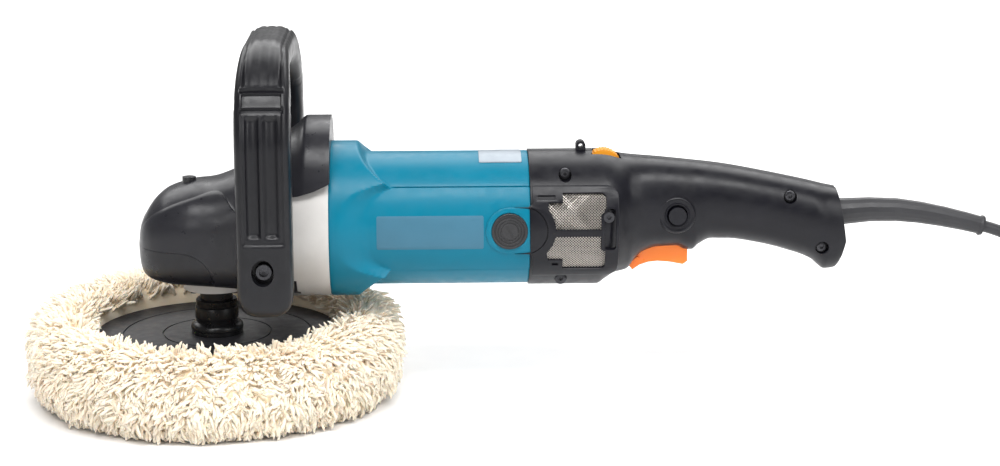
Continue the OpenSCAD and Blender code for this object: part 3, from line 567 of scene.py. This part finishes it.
def round_box(x0, y0, x1, y1, r, n=6):
    return (arc(x1 - r, y0 + r, r, -90, 0, n) + arc(x1 - r, y1 - r, r, 0, 90, n)
            + arc(x0 + r, y1 - r, r, 90, 180, n) + arc(x0 + r, y0 + r, r, 180, 270, n))


CAP_X = 198.0
CAP_R = 11.9
BOSS_R = 15.4


def make_motor_trim():
    panel = round_box(110.6, -12.0, 180.6, 10.4, 1.0)
    label_low, label_high = math.radians(65.5) * MOTOR_R, math.radians(100) * MOTOR_R
    label = round_box(178.8, label_low, 206.8, label_high, 0.8)
    boss = arc(CAP_X, 0, BOSS_R, 90, 270, 40) + [(211.7, -BOSS_R), (211.7, BOSS_R)]
    hole = arc(CAP_X, 0, CAP_R + 0.5, 0, 350, 48)
    for side, word in ((-1, "near"), (1, "far")):
        wrapped_plate(f"inlay_{word}", panel, [], 45.6, 45.9, "blank_panel",
                      stands_for(side, "side_panels"), side)
        wrapped_plate(f"brush_boss_{word}", boss, [hole], 45.0, 46.7, "teal_plastic", (), side)
        make_brush_cap(side, word)
    wrapped_plate("foil_label", label, [], 45.0, 45.2, "blank_label", ["rating_plate"], -1, step=1.5)


def make_brush_cap(side, word):
    """Screwed brush cap: rim, concentric rings and a slot for a coin or screwdriver."""
    face = 46.9
    profile = [(0.01, 44), (CAP_R, 44), (CAP_R, face - 0.3), (CAP_R - 0.4, face), (10.2, face),
               (10.0, face - 0.7),
               (9.3, face - 0.7), (9.1, face - 0.2), (8.1, face - 0.2), (7.9, face - 0.6), (7.4, face - 0.6),
               (7.2, face - 0.1), (6.4, face - 0.1), (6.2, face - 0.5), (5.7, face - 0.5), (5.5, face - 0.1),
               (0.01, face - 0.1)]
    flipped = [(r, side * h) for r, h in profile]
    points, faces = lathe(flipped if side > 0 else flipped[::-1], 72, "y", (CAP_X, 0, MOTOR_Z))
    cap = shape(f"brush_cap_{word}", points, faces, "cap_plastic", "housing",
                stands_for(side, "brush_caps"), 25)
    slot_points = []
    lean = math.radians(-32 if side < 0 else 32)
    for y in (46.2, 48.5):
        for u, v in ((-4.4, -0.75), (4.4, -0.75), (4.4, 0.75), (-4.4, 0.75)):
            slot_points.append([CAP_X + v * math.cos(lean) + u * math.sin(lean), side * y,
                                MOTOR_Z - v * math.sin(lean) + u * math.cos(lean)])
    box_faces = [(0, 1, 2, 3), (7, 6, 5, 4), (0, 4, 5, 1), (1, 5, 6, 2), (2, 6, 7, 3), (3, 7, 4, 0)]
    cut(cap, (slot_points, box_faces if side < 0 else [f[::-1] for f in box_faces]))


# ---- Gear head ----

HEAD_TOP = ([-50, -48.6, -44.7, -38, -29.3, -20, -13, -1, 12, 30, 45, 57.5, 64, 80],
            [110, 119, 127.3, 136.5, 143, 146.2, 148, 149.2, 153.4, 164, 176, 185, 190.5, 190.5])
HEAD_BOTTOM = ([-50, -48.6, -45, -38, -29, -13, 20, 40, 50, 80],
               [100, 92, 86, 83, 81.5, 80.5, 78, 72, 68.8, 68.8])
HEAD_HALF = ([-50, -48.6, -44.7, -38, -29.3, -20, -13, -1, 20, 40, 53, 80],
             [8, 15, 23.5, 31, 36.5, 39.5, 41, 42, 43.5, 49, 51.8, 51.8])
CREASE = ([-50, -45, -30, -12, 6, 10, 14, 22, 80], [109, 122, 134, 141, 145.5, 143.5, 138, 132, 128])
SEAM_Z, SEAM_X, SEAM_R = 106.0, -20.0, 22.0
RING_X = 53.4


def head_rings(xs, grow=0.0, ledge=1.6, power=2.5):
    """Cross sections of the head: rounded flank, then a ledge and a narrower deck above the crease line."""
    rings = []
    for x in xs:
        top, bottom = eased(x, *HEAD_TOP) + grow, eased(x, *HEAD_BOTTOM) - grow
        half = eased(x, *HEAD_HALF) + grow
        middle, height = (top + bottom) / 2, (top - bottom) / 2
        crease = np.clip((eased(x, *CREASE) - middle) / height, -0.9, 0.93)
        bend = math.degrees(math.asin(math.copysign(abs(crease) ** (power / 2), crease)))
        low = np.concatenate([np.linspace(-90, -30, 17)[:-1], np.linspace(-30, bend - 1.0, 18)])
        high = np.linspace(bend + 1.0, 90, 22)
        t = np.radians(np.concatenate([low, [bend], high]))
        boxy = np.where(t < 0, power + 2.6 * (1 - smoothstep(x, 20, 45)), power)
        y = half * np.cos(t) ** (2 / boxy)
        z = middle + height * np.sign(np.sin(t)) * np.abs(np.sin(t)) ** (2 / boxy)
        size = np.clip((x + 52) / 12, 0, 1) * (1 - smoothstep(x, 30, 50))
        inset = np.concatenate([np.zeros(34), [0.9], np.full(22, 1.0)]) * ledge * size
        y = np.maximum(y - inset * np.abs(np.cos(t)) ** 0.3, 0.0)
        ring = np.stack([np.full_like(y, x), -y, z], 1)
        mirror = ring[::-1][1:-1] * [1, -1, 1]
        rings.append(np.concatenate([ring, mirror]))
    return rings


def outward(points, faces):
    """Turns a closed shape's faces so that its volume is positive."""
    points = np.asarray(points, float)
    volume = sum(np.dot(points[f[0]], np.cross(points[f[i]], points[f[i + 1]])) for f in faces
                 for i in range(1, len(f) - 1))
    return points, (faces if volume > 0 else [tuple(f[::-1]) for f in faces])


def prism(outline, y0, y1):
    """Closed bar along Y over an outline of (x, z)."""
    return outward(*skin([[[x, y, z] for x, z in outline] for y in (y0, y1)]))


def cylinder(radius, low, high, steps, axis, centre=(0, 0, 0)):
    """Closed cylinder between two places along an axis."""
    return outward(*lathe([(0.01, low), (radius, low), (radius, high), (0.01, high)], steps, axis, centre))


def casting_outline(grow=0.0):
    corner = arc(SEAM_X, SEAM_Z - SEAM_R, SEAM_R + grow, 90, 0, 14)
    return [(-70, 60), (-70, SEAM_Z + grow)] + corner + [(SEAM_X + SEAM_R + grow, 60)]


def make_head():
    xs = np.concatenate([[-50, -49.7, -49.2, -48.4], np.linspace(-47, -30, 14), np.linspace(-28, 60, 50),
                         [62, 63.4, 64.6, 68, 72, 76, 79.4, 80]])
    outer = outward(*skin(head_rings(xs)))
    cover = shape("head_shell", *outer, "satin_black_plastic", "housing", ["head_cover"], sharp=26)
    under_hood = [(RING_X - 0.2, 40), (RING_X - 0.2, 145.5), (60, 146.6), (70, 149.6), (78, 153.2),
                  (82, 155.5), (82, 40)]
    ring_bore = cylinder(FLANGE_R + 0.3, RING_X - 0.2, 82, 96, "x", (0, 0, MOTOR_Z))
    spindle_hole = cylinder(22.4, 60, 86, 64, "z")
    hood_line = [(61, 182.2), (81, 182.2), (81, 183.4), (61.6, 183.4)]
    for y0, y1 in ((-60, -33.5), (33.5, 60)):
        cut(cover, prism(hood_line, y0, y1))
    cut(cover, prism(under_hood, -70, 70), ring_bore, spindle_hole, prism(casting_outline(0.25), -70, 70))
    inner = outward(*skin(head_rings(xs[:64], grow=-0.12)))
    casting = shape("gear_casting_nose", *inner, "black_casting", "housing", sharp=26)
    keep_out = ([(-80, SEAM_Z), (SEAM_X, SEAM_Z)] + casting_outline()[3:-1]
                + [(SEAM_X + SEAM_R, 40), (90, 40), (90, 210), (-80, 210)])
    cut(casting, prism(keep_out, -70, 70), spindle_hole)


# ---- Loop handle ----

LOOP_X = 39.5
LOOP_HALF_Y = 80.0
LOOP_CORNER = 52.0
LOOP_THICK = 26.0
LOOP_TOP = 248.0
FOOT_Z, FOOT_R = 93.5, 18.5


def loop_path():
    """Centre line, up the near leg, over the top and down the far leg, with its outward direction."""
    top = LOOP_TOP - LOOP_THICK / 2
    path, out, along = [], [], []
    rounding = 1 - np.cos(np.linspace(0.0, math.pi / 2, 16))
    heights = np.concatenate([75.01 + 18.49 * rounding, np.arange(95, 118, 3),
                              np.arange(118, top - LOOP_CORNER, 0.9)])
    for z in heights:
        path.append([-LOOP_HALF_Y, z])
        out.append([-1, 0])
    for a in np.linspace(180, 90, 92):
        c, s = math.cos(math.radians(a)), math.sin(math.radians(a))
        path.append([-(LOOP_HALF_Y - LOOP_CORNER) + LOOP_CORNER * c, top - LOOP_CORNER + LOOP_CORNER * s])
        out.append([c, s])
    for y in np.linspace(-(LOOP_HALF_Y - LOOP_CORNER) + 2, 0, 10):
        path.append([y, top])
        out.append([0, 1])
    path, out = np.array(path), np.array(out)
    path = np.concatenate([path, path[::-1][1:] * [-1, 1]])
    out = np.concatenate([out, out[::-1][1:] * [-1, 1]])
    along = distances(path) + path[0][1]
    return path, out, along


def groove(x, centre, width):
    return np.exp(-((np.asarray(x) - centre) / width) ** 2)


def make_loop():
    """Loop swept from one section; its outer face has a fluted lower panel, a ring band and a ribbed grip."""
    path, out, along = loop_path()
    total = along[-1] + along[0]
    across = np.sin(np.linspace(-math.pi / 2, math.pi / 2, 58))
    across = np.concatenate([across, across[::-1][1:-1]])
    outer = np.arange(len(across)) < 58
    rings = []
    for (y, z), (oy, oz), s in zip(path, out, along):
        s = min(s, total - s)
        rise = smoothstep(s, 205, 270)
        width = (36 - 5 * rise) / 2
        thick = LOOP_THICK / 2
        if s < FOOT_Z:
            drop = (FOOT_Z - s) / FOOT_R
            width = width * (1 - min(drop, 0.999) ** 3.0) ** (1 / 3.0)
            thick = thick * (1 - min(drop, 0.999) ** 5) ** 0.2
        power = 4.2 - 1.4 * rise
        a = width * across
        b = thick * (1 - np.abs(across) ** power) ** (1 / power) * np.where(outer, 1, -1)
        face = np.where(outer, smoothstep(b, 0.35 * thick, 0.75 * thick), 0)
        panel = smoothstep(s, 122.4, 124.4) * (1 - smoothstep(s, 203.6, 205))
        flute = smoothstep(s, 127, 130) * (1 - smoothstep(s, 200, 203))
        window = smoothstep(s, 206.4, 207.4) * (1 - smoothstep(s, 213.6, 214.6))
        grip = smoothstep(s, 217.4, 219)
        relief = -1.3 * panel * (1 - smoothstep(np.abs(a), 12.6, 13.2))
        flutes = np.clip(1 - ((a + 6.0) / 4.4) ** 2, 0, 1) + np.clip(1 - ((a - 5.6) / 4.4) ** 2, 0, 1)
        relief = relief - 2.9 * flute * flutes ** 0.6
        relief = relief - 2.2 * window * (1 - smoothstep(np.abs(a), 12.2, 13.0))
        facets = 0.6 * (1 - np.abs(np.cos(math.pi * a / 6.0))) + 0.4
        relief = relief - grip * (facets * (1 - smoothstep(np.abs(a), 11.4, 12.2))
                                  + 1.5 * groove(np.abs(a), 11.8, 0.9))
        ring_lines = groove(s, 216.2, 1.1) + groove(s, 205.2, 1.0)
        relief = relief - 2.4 * ring_lines * (1 - smoothstep(np.abs(a), 13, 14.5))
        b = b + relief * face
        a = a - np.sign(a) * 0.3 * window * (1 - face)
        rings.append(np.stack([LOOP_X + a, y + oy * b, z + oz * b], 1))
    points, faces = outward(*skin(rings))
    loop = shape("loop_grip", points, faces, "grip_rubber", "housing", ["loop_handle"], sharp=40)
    for side in (-1, 1):
        recess = [[LOOP_X - 1.0 + 7.2 * math.cos(u), side * y, 105.4 + 8.7 * math.sin(u)]
                  for y in (83, 96) for u in full_turn(40)]
        cut(loop, outward(*skin(np.array(recess).reshape(2, 40, 3))))
        make_loop_bolt(side, "near" if side < 0 else "far")


def make_loop_bolt(side, word):
    """Bolt head deep in the foot's oval recess, with a shallow hexagon socket."""
    profile = [(0.01, 60), (3.9, 60), (3.9, 83), (5.2, 83), (5.6, 83.5), (5.6, 87.2), (5.0, 88),
               (3.1, 88), (2.9, 85.6), (0.01, 85.2)]
    bolt = outward(*lathe([(r, side * h) for r, h in profile], 48, "y", (LOOP_X - 0.6, 0, 105)))
    shape(f"loop_bolt_{word}", *bolt, "dark_steel", "housing", stands_for(side, "loop_bolts"), 30)


def make_ring_notch():
    """Dark locating slot at the lower front edge of the gear cover."""
    for side, word in ((-1, "near"), (1, "far")):
        notch = [(RING_X + 0.3, -32.5), (RING_X + 0.3, -47.5), (RING_X + 5.5, -50), (RING_X + 5.5, -47),
                 (RING_X + 3.4, -46), (RING_X + 3.4, -32.5)]
        wrapped_plate(f"ring_notch_{word}", notch, [], 51.5, 52.55, "black_casting", (), side, soften=0.1)


make_motor_housing()
make_motor_trim()
make_ring_notch()
make_head()
make_loop()

# ---- Rear handle ----

GRIP_TOP = ([211.6, 258, 266, 274, 303, 342.5, 376.6, 405, 414, 420, 424, 426.5],
            [167, 167, 166, 163.8, 161, 156.4, 150, 143.8, 141.6, 140.4, 139.6, 139.0])
GRIP_BOTTOM = ([211.6, 258, 264, 270, 279, 283, 290, 300, 313, 319, 323, 327, 336, 348, 365, 388,
                405, 409, 414, 420, 424, 426.5],
               [75, 75, 79, 83, 85.5, 91, 97.5, 100.6, 101, 98.4, 98.2, 101.6, 106, 105.8, 103.4, 97.6,
                91, 87.6, 84, 84.6, 87, 91])
GRIP_HALF = ([211.6, 250, 262, 270, 279, 288, 300, 330, 376, 405, 414, 420, 424, 426.5],
             [46, 46, 45, 41, 33, 28.5, 26.5, 25, 24, 24, 23.4, 22.6, 21.8, 21])


# Handle screws: x, z, radius and depth of the hole, depth of the head's face
GRIP_SCREWS = [(235.4, 155.5, 4.3, 26.0, 27.5), (233, 84, 4.3, 26.0, 27.5),
               (387.5, 137.4, 4.5, 17.5, 19.6), (410, 102.4, 4.5, 17.0, 19.2)]
LOCK_AT = (311, 0, 126.5)


def grip_ring(x, side, grow=0.0):
    top, bottom = eased(x, *GRIP_TOP) + grow, eased(x, *GRIP_BOTTOM) - grow
    half = eased(x, *GRIP_HALF) + grow
    power = 2.0 + 0.5 * smoothstep(x, 255, 290)
    t = np.radians(np.linspace(-90, 90, 60))
    y = np.maximum(half * np.abs(np.cos(t)) ** (2 / power), 0.15)
    lip = 0.5 * (1 - smoothstep(y, 0.15, 0.9))
    rise = np.sign(np.sin(t)) * np.abs(np.sin(t)) ** (2 / power)
    z = (top + bottom) / 2 + ((top - bottom) / 2 - lip) * rise
    ring = np.stack([np.full_like(y, x), side * y, z], 1)
    spine = np.linspace(0.93, -0.93, 6)[:, None]
    centre = np.array([[x, side * 0.15, (top + bottom) / 2]])
    return np.concatenate([ring, centre + spine * [0, 0, (top - bottom) / 2]])


def make_grip(side, word, node):
    xs = np.concatenate([[211.75, 212.1, 213], np.linspace(215, 255, 12), np.linspace(258, 344, 60),
                         np.linspace(346, 404, 26), np.linspace(405.5, 426.5, 20)])
    rings = np.array([grip_ring(x, side, -0.35 if x < 212 else 0.0) for x in xs])
    points, faces = outward(*skin(rings))
    grip = shape(f"grip_{word}", points, faces, "black_plastic", "housing", [node], sharp=32)
    cutters = [cylinder(r, *sorted((side * depth, side * 60)), 32, "y", (x, 0, z))
               for x, z, r, depth, _ in GRIP_SCREWS]
    for name, loop in (("upper", UPPER_WINDOW), ("lower", LOWER_WINDOW)):
        cutters.append(wrapped_plate(f"{name}_pocket", loop, [], 42.5, 49.0, "black_plastic", (), side,
                                     tool=True))
    if side < 0:
        cutters.append(cylinder(6.6, -60, -8.8, 48, "y", LOCK_AT))
    end_face = [(420.6, 152), (421.2, 139), (426.6, 106), (424.6, 97), (419.5, 82), (440, 70), (440, 152)]
    dial_notch = cylinder(13.6, -11, 11, 64, "y", (263, 0, 155.5))
    cut(grip, *cutters, prism(end_face, -40, 40), dial_notch)


DISC_X = 207.4


def disc_arc(r, low, high, n=14):
    """Stretch of a circle round the end of the brush boss, between two heights."""
    a = np.linspace(math.asin(low / r), math.asin(high / r), n)
    return [(DISC_X + r * math.cos(t), r * math.sin(t)) for t in a]


UPPER_WINDOW = ([(258.8, 0.4), (258.8, 10.5), (262.3, 12.5)] + arc(258.3, 21.3, 4, 0, 90, 7)
                + [(233.0, 25.3), (233.0, 18.9), (223.6, 18.9)] + disc_arc(21.0, 0.4, 13.5, 12)[::-1])
LOWER_WINDOW = ([(258.8, -3.6)] + disc_arc(21.0, -15.0, -3.6, 12)[::-1]
                + [(223.4, -21.5), (233.0, -21.5), (233.0, -29.3)]
                + arc(257.8, -25.3, 4, -90, 0, 7) + [(261.8, -14.5), (258.8, -12.5)])
SCREW_BAY = round_box(260.4, -13.6, 268.6, 14.6, 2.6)


def make_vents():
    outline = (disc_arc(16.3, -15.9, 15.9, 16) + [(213.4, 17.5), (213.4, 30.2)]
               + arc(262.0, 22.2, 8.0, 90, 0, 8)
               + arc(260.0, -25.9, 10.0, 0, -90, 8) + [(213.4, -35.9), (213.4, -17.5)])
    notches = [round_box(216.5, 20.3, 228.5, 23.6, 0.4), round_box(226.0, -25.6, 230.6, -22.6, 0.4)]
    disc = disc_arc(BOSS_R, -BOSS_R + 0.01, BOSS_R - 0.01, 30) + [(211.75, BOSS_R), (211.75, -BOSS_R)]
    for side, word in ((-1, "near"), (1, "far")):
        wrapped_plate(f"vent_frame_{word}", outline[::-1], [UPPER_WINDOW, LOWER_WINDOW, SCREW_BAY, *notches],
                      44.6, 46.9, "black_plastic", stands_for(side, "vent_covers"), side, soften=0.3)
        wrapped_plate(f"boss_end_{word}", disc, [], 44.6, 47.2, "black_plastic", (), side, soften=0.3)
        make_wire_mesh(side, word)


def inside(points, loop):
    """Whether each (u, v) lies in the loop."""
    u, v = points[:, 0], points[:, 1]
    hit = np.zeros(len(points), bool)
    for (u0, v0), (u1, v1) in zip(loop, loop[1:] + loop[:1]):
        crosses = (v0 > v) != (v1 > v)
        with np.errstate(divide="ignore", invalid="ignore"):
            hit ^= crosses & (u < (u1 - u0) * (v - v0) / (v1 - v0) + u0)
    return hit


WIRE_PITCH = 1.35
WIRE_R = 0.24


def make_wire_mesh(side, word):
    """Woven wire over both windows: two sets of slanting wires that pass over and under each other."""
    parts = []
    step = WIRE_PITCH / 2
    for lean in (1, -1):
        direction = np.array([math.cos(math.radians(45)), lean * math.sin(math.radians(45))])
        across = np.array([-direction[1], direction[0]])
        for k in range(-34, 35):
            run = np.arange(-42, 42, step)
            line = np.array([242.0, -2.0]) + k * WIRE_PITCH * across + run[:, None] * direction
            shown = inside(line, UPPER_WINDOW) | inside(line, LOWER_WINDOW)
            shown = shown | np.roll(shown, 1) | np.roll(shown, -1)
            starts = np.flatnonzero(shown & ~np.roll(shown, 1))
            ends = np.flatnonzero(shown & ~np.roll(shown, -1))
            for first, last in zip(starts, ends):
                if last - first < 2:
                    continue
                pick = np.arange(first, last + 1)
                wave = 0.17 * lean * np.cos(math.pi * (run[pick] / WIRE_PITCH + k))
                u, v = line[pick, 0], line[pick, 1]
                path = on_motor(u, np.degrees(v / MOTOR_R), 45.0 + wave, side)
                parts.append(tube(path, WIRE_R, 4))
    points, faces = merged(*parts)
    shape(f"wire_mesh_{word}", points, faces, "vent_mesh_steel", "housing",
          stands_for(side, "vent_meshes"), 60)


def make_lock_collar():
    """Raised ring moulded round the lock button."""
    y = -25.4
    profile = [(6.6, y + 3), (6.6, y - 1.2), (7.0, y - 1.6), (8.0, y - 1.6), (8.5, y - 0.7), (10.6, y - 0.5),
               (11.4, y - 1.0), (12.2, y - 0.6), (12.6, y + 0.5), (12.6, y + 3)]
    ring = outward(*lathe(profile, 64, "y", LOCK_AT))
    shape("lock_collar", *ring, "black_plastic", "housing", sharp=50)


def make_grip_screws():
    """Heads of the four handle screws, two of them deep in their holes."""
    for index, (x, z, _, _, y) in enumerate(GRIP_SCREWS):
        profile = [(0.01, y - 8), (3.0, y - 8), (3.0, y - 2.4), (3.9, y - 2.4), (3.9, y - 0.5), (3.2, y),
                   (1.5, y), (1.3, y - 1.4), (0.01, y - 1.6)]
        head = outward(*lathe([(r, -h) for r, h in profile], 36, "y", (x, 0, z)))
        shape(f"grip_screw_{index + 1}", *head, "dark_steel", "housing",
              ["handle_screws"] if index == 0 else ())


make_grip_screws()
make_vents()
make_grip(-1, "near", "handle_left")
make_grip(1, "far", "handle_right")
make_lock_collar()

# ---- Pad hub ----

def make_hub():
    """Clamping hub: two collars, a neck and a rounded skirt."""
    profile = [(11.2, 66.0), (13.3, 66.0), (13.9, 65.4), (13.9, 61.4), (14.4, 61.0), (14.7, 60.4),
               (14.7, 53.0), (14.2, 52.4), (14.0, 50.2), (15.6, 49.6), (17.2, 48.4), (17.8, 47.0),
               (17.8, 45.4), (17.2, 44.6), (17.4, 43.6), (17.2, 42.2), (11.2, 42.2)]
    shape("hub_nut", *outward(*lathe(profile, 96)), "hub_plastic", "spindle", ["pad_hub"], 30)


make_hub()

# ---- Bonnet ----

BONNET_PROFILE = [(0.01, 0.9), (40, 0.8), (80, 0.8), (103, 0.8), (112, 4.2), (118.5, 12), (122.5, 25),
                  (122, 37), (118, 47.5), (111, 54.5), (103, 57), (95, 55.6), (89.5, 51), (86.6, 45),
                  (85.6, 38), (85.6, 25.6), (0.01, 25.6)]
PILE_FROM, PILE_TO = 3, 14            # the stretch of the profile that carries wool
PILE_ROWS, PILE_STEPS = 70, 220
LOCKS, STRANDS = 1700, 9
LOCK_SPREAD = 3.2                     # how far a lock's strands are scattered at their roots
PILE_R = 115                          # middle radius of the roll
ROOT_DEPTH = 1.6
DRAW_LIMIT = 5.0                      # how far a strand may be drawn towards its lock's middle
CURL, CURL_TURN = (1.25, 1.0), 4.6
RIM_TOP, RIM_CAP = 56, 66             # wool above the first height is pressed down below the second
WIDE_R, WIDE_CAP = 124, 133           # the same for its radius
GOLDEN_ANGLE = math.pi * (3 - math.sqrt(5))
SIDES, KNOTS = 4, 6
STRAND_FACES = ([tuple(f) for f in grid_faces(KNOTS, SIDES, wrap_cols=True)]
                + [tuple(range(SIDES))[::-1], tuple(range((KNOTS - 1) * SIDES, KNOTS * SIDES))])


def rim_lean(angle, z):
    """The skirt stands taller behind the pad and is pressed down in front."""
    return z * (1 + 0.075 * np.sin(angle) * smoothstep(z, 15, 50))


def lumps(angle, s, rng):
    total = 0.0
    for _ in range(14):
        k, m, p = rng.integers(3, 24), rng.uniform(0.02, 0.14), rng.uniform(0, 6.28)
        total = total + np.sin(k * angle + m * s + p) * rng.uniform(0.1, 0.32)
    return total


def make_bonnet():
    """Wool bonnet: a lumpy pile body with locks of curled strands combed out over its roll."""
    rng = np.random.default_rng(41)
    body = smooth_line([(r, z, 0) for r, z in BONNET_PROFILE[PILE_FROM:PILE_TO]], PILE_ROWS)[:, :2]
    along = distances(body)
    lump_rng = np.random.default_rng(7)
    angles = full_turn(PILE_STEPS)
    tangent = unit_rows(np.gradient(body, axis=0))
    normal = np.stack([tangent[:, 1], -tangent[:, 0]], 1)
    swell = lumps(angles[None, :], along[:, None], lump_rng)
    fade = np.sin(np.linspace(0, math.pi, len(body)))[:, None] ** 0.5
    swollen_r = body[:, 0][:, None] + normal[:, 0][:, None] * swell * fade
    swollen_z = body[:, 1][:, None] + normal[:, 1][:, None] * swell * fade
    flat = np.array(BONNET_PROFILE[:PILE_FROM])
    wall = np.array([(85.8, 41), (85.5, 34), (85.5, 25.6), (60, 25.6), (0.01, 25.6)])
    rows_r = np.concatenate([flat[:, 0][:, None] + 0 * angles, swollen_r, wall[:, 0][:, None] + 0 * angles])
    rows_z = np.concatenate([flat[:, 1][:, None] + 0 * angles, swollen_z, wall[:, 1][:, None] + 0 * angles])
    rows_z = np.maximum(rim_lean(angles, rows_z), 0.4)
    grid = np.stack([rows_r * np.cos(angles), rows_r * np.sin(angles), rows_z], -1)
    points, faces = outward(*skin(grid))
    # tip values steer the painted root shade: the pile body gets part of it everywhere
    root_shade_tips = [np.full(len(points), 0.5)]
    parts = [(points, faces)]
    weight = body[:, 0] * np.gradient(along)
    place = np.cumsum(weight) / weight.sum()
    ring = full_turn(SIDES)
    t = np.linspace(0, 1, KNOTS)
    up = np.array([0.0, 0.0, 1.0])
    for i in range(LOCKS):
        angle = i * GOLDEN_ANGLE
        u = np.interp((i + rng.uniform(0, 1)) / LOCKS, place, np.arange(len(body)))
        lean, rise, spin = rng.normal(0, 0.45), rng.normal(0, 0.22), rng.uniform(0, 2 * math.pi)
        size = rng.uniform(0.7, 1.3)
        gather = rng.uniform(0.45, 0.95)
        for strand in range(STRANDS):
            a = angle + rng.normal(0, LOCK_SPREAD) / PILE_R
            k = int(np.clip(u + rng.normal(0, 2.2), 0, len(body) - 1))
            column = int(round(a / (2 * math.pi) * PILE_STEPS)) % PILE_STEPS
            r, z = swollen_r[k, column], swollen_z[k, column]
            out = np.array([math.cos(a), math.sin(a), 0.0])
            round_it = np.array([-math.sin(a), math.cos(a), 0.0])
            n = normal[k][0] * out + normal[k][1] * up
            down = -(tangent[k][0] * out + tangent[k][1] * up)
            share = along[k] / along[-1]
            inner = smoothstep(share, 0.78, 0.93)
            back = smoothstep(math.sin(a - 0.35), 0.0, 0.8)
            lay = (down * (0.8 - 1.25 * inner) + n * (0.8 + 0.2 * inner)
                   + round_it * (lean + rng.normal(0, 0.16)) + up * (rise + rng.normal(0, 0.1)))
            lay = lay + (0.9 * up + 0.35 * out) * back * smoothstep(share, 0.5, 0.75)
            lay /= np.linalg.norm(lay)
            length = size * rng.uniform(8, 13) * (1 + 0.15 * back)
            width = rng.uniform(0.75, 1.25)
            root = r * out + z * up - ROOT_DEPTH * n
            sideways = np.cross(lay, n)
            phase = spin + 0.35 * strand
            centre = r * np.array([math.cos(angle), math.sin(angle), 0.0]) + z * up - ROOT_DEPTH * n
            draw = centre - root
            draw *= min(1.0, DRAW_LIMIT / max(np.linalg.norm(draw), 1e-6))
            turn = CURL_TURN * t + phase
            path = (root + np.outer(t * length, lay) + np.outer(CURL[0] * np.sin(turn), sideways)
                    - np.outer(0.16 * length * t ** 2, n) + np.outer(gather * t ** 1.3, draw)
                    + np.outer(CURL[1] * np.cos(turn), n))
            thick = width * (0.8 + 0.35 * np.sin(math.pi * t)) * (1 - 0.6 * smoothstep(t, 0.8, 1.0))
            axis = unit_rows(np.gradient(path, axis=0))
            across = unit_rows(np.cross(axis, n))
            other = np.cross(axis, across)
            around = (np.cos(ring)[None, :, None] * across[:, None, :]
                      + np.sin(ring)[None, :, None] * other[:, None, :])
            strand_points = path[:, None, :] + thick[:, None, None] * around
            parts.append((strand_points.reshape(-1, 3), STRAND_FACES))
            # painted shade is strongest at each strand's root and fades towards its tip
            root_shade_tips.append(np.repeat(0.2 + 0.8 * t ** 0.5, SIDES) + rng.uniform(-0.1, 0.1))
    points, faces = merged(*parts)
    start = len(parts[0][0])
    azimuth = np.arctan2(points[start:, 1], points[start:, 0])
    points[start:, 2] = rim_lean(azimuth, points[start:, 2])
    room = RIM_CAP - RIM_TOP
    over = points[:, 2] > RIM_TOP
    points[over, 2] = RIM_TOP + room * np.tanh((points[over, 2] - RIM_TOP) / room)
    points[:, 2] = np.maximum(points[:, 2], 0.3)
    wide = np.hypot(points[:, 0], points[:, 1])
    room = WIDE_CAP - WIDE_R
    pressed = WIDE_R + room * np.tanh((wide - WIDE_R) / room)
    limit = np.where(wide > WIDE_R, pressed, wide) / np.maximum(wide, 1e-6)
    points[:, :2] *= limit[:, None]
    bonnet = shape("wool_bonnet", points, faces, "wool", "spindle", ["bonnet"], sharp=180)
    # the tip attribute carries the painted shade of the pile's deep into the wool material
    tip = bonnet.data.attributes.new("tip", "FLOAT", "POINT")
    tip.data.foreach_set("value", np.clip(np.concatenate(root_shade_tips), 0, 1).astype(np.float32))


make_bonnet()

# ---- Floor ----

floor_material = material("floor", (0.92, 0.92, 0.92), 0.7, grain=300, depth=0.02, vary=0.01)
floor = shape("floor", [[-1700, -1600, -0.6], [2100, -1600, -0.6], [2100, 2600, -0.6], [-1700, 2600, -0.6]],
              [(0, 1, 2, 3)], "black_plastic", None, ride=False)
floor.data.materials.clear()
floor.data.materials.append(floor_material)

# ---- The CAD nodes' finishes ----

for part in frame["record"]["subparts"]:
    held = nodes[part["node"]].data.materials
    for index in range(len(held)):
        held[index] = finish(part["material_slot"])

OVERRIDES = {"spindle": "hub_plastic", "lock_button": "black_plastic"}
for name, slot in OVERRIDES.items():
    for index in range(len(nodes[name].data.materials)):
        nodes[name].data.materials[index] = finish(slot)
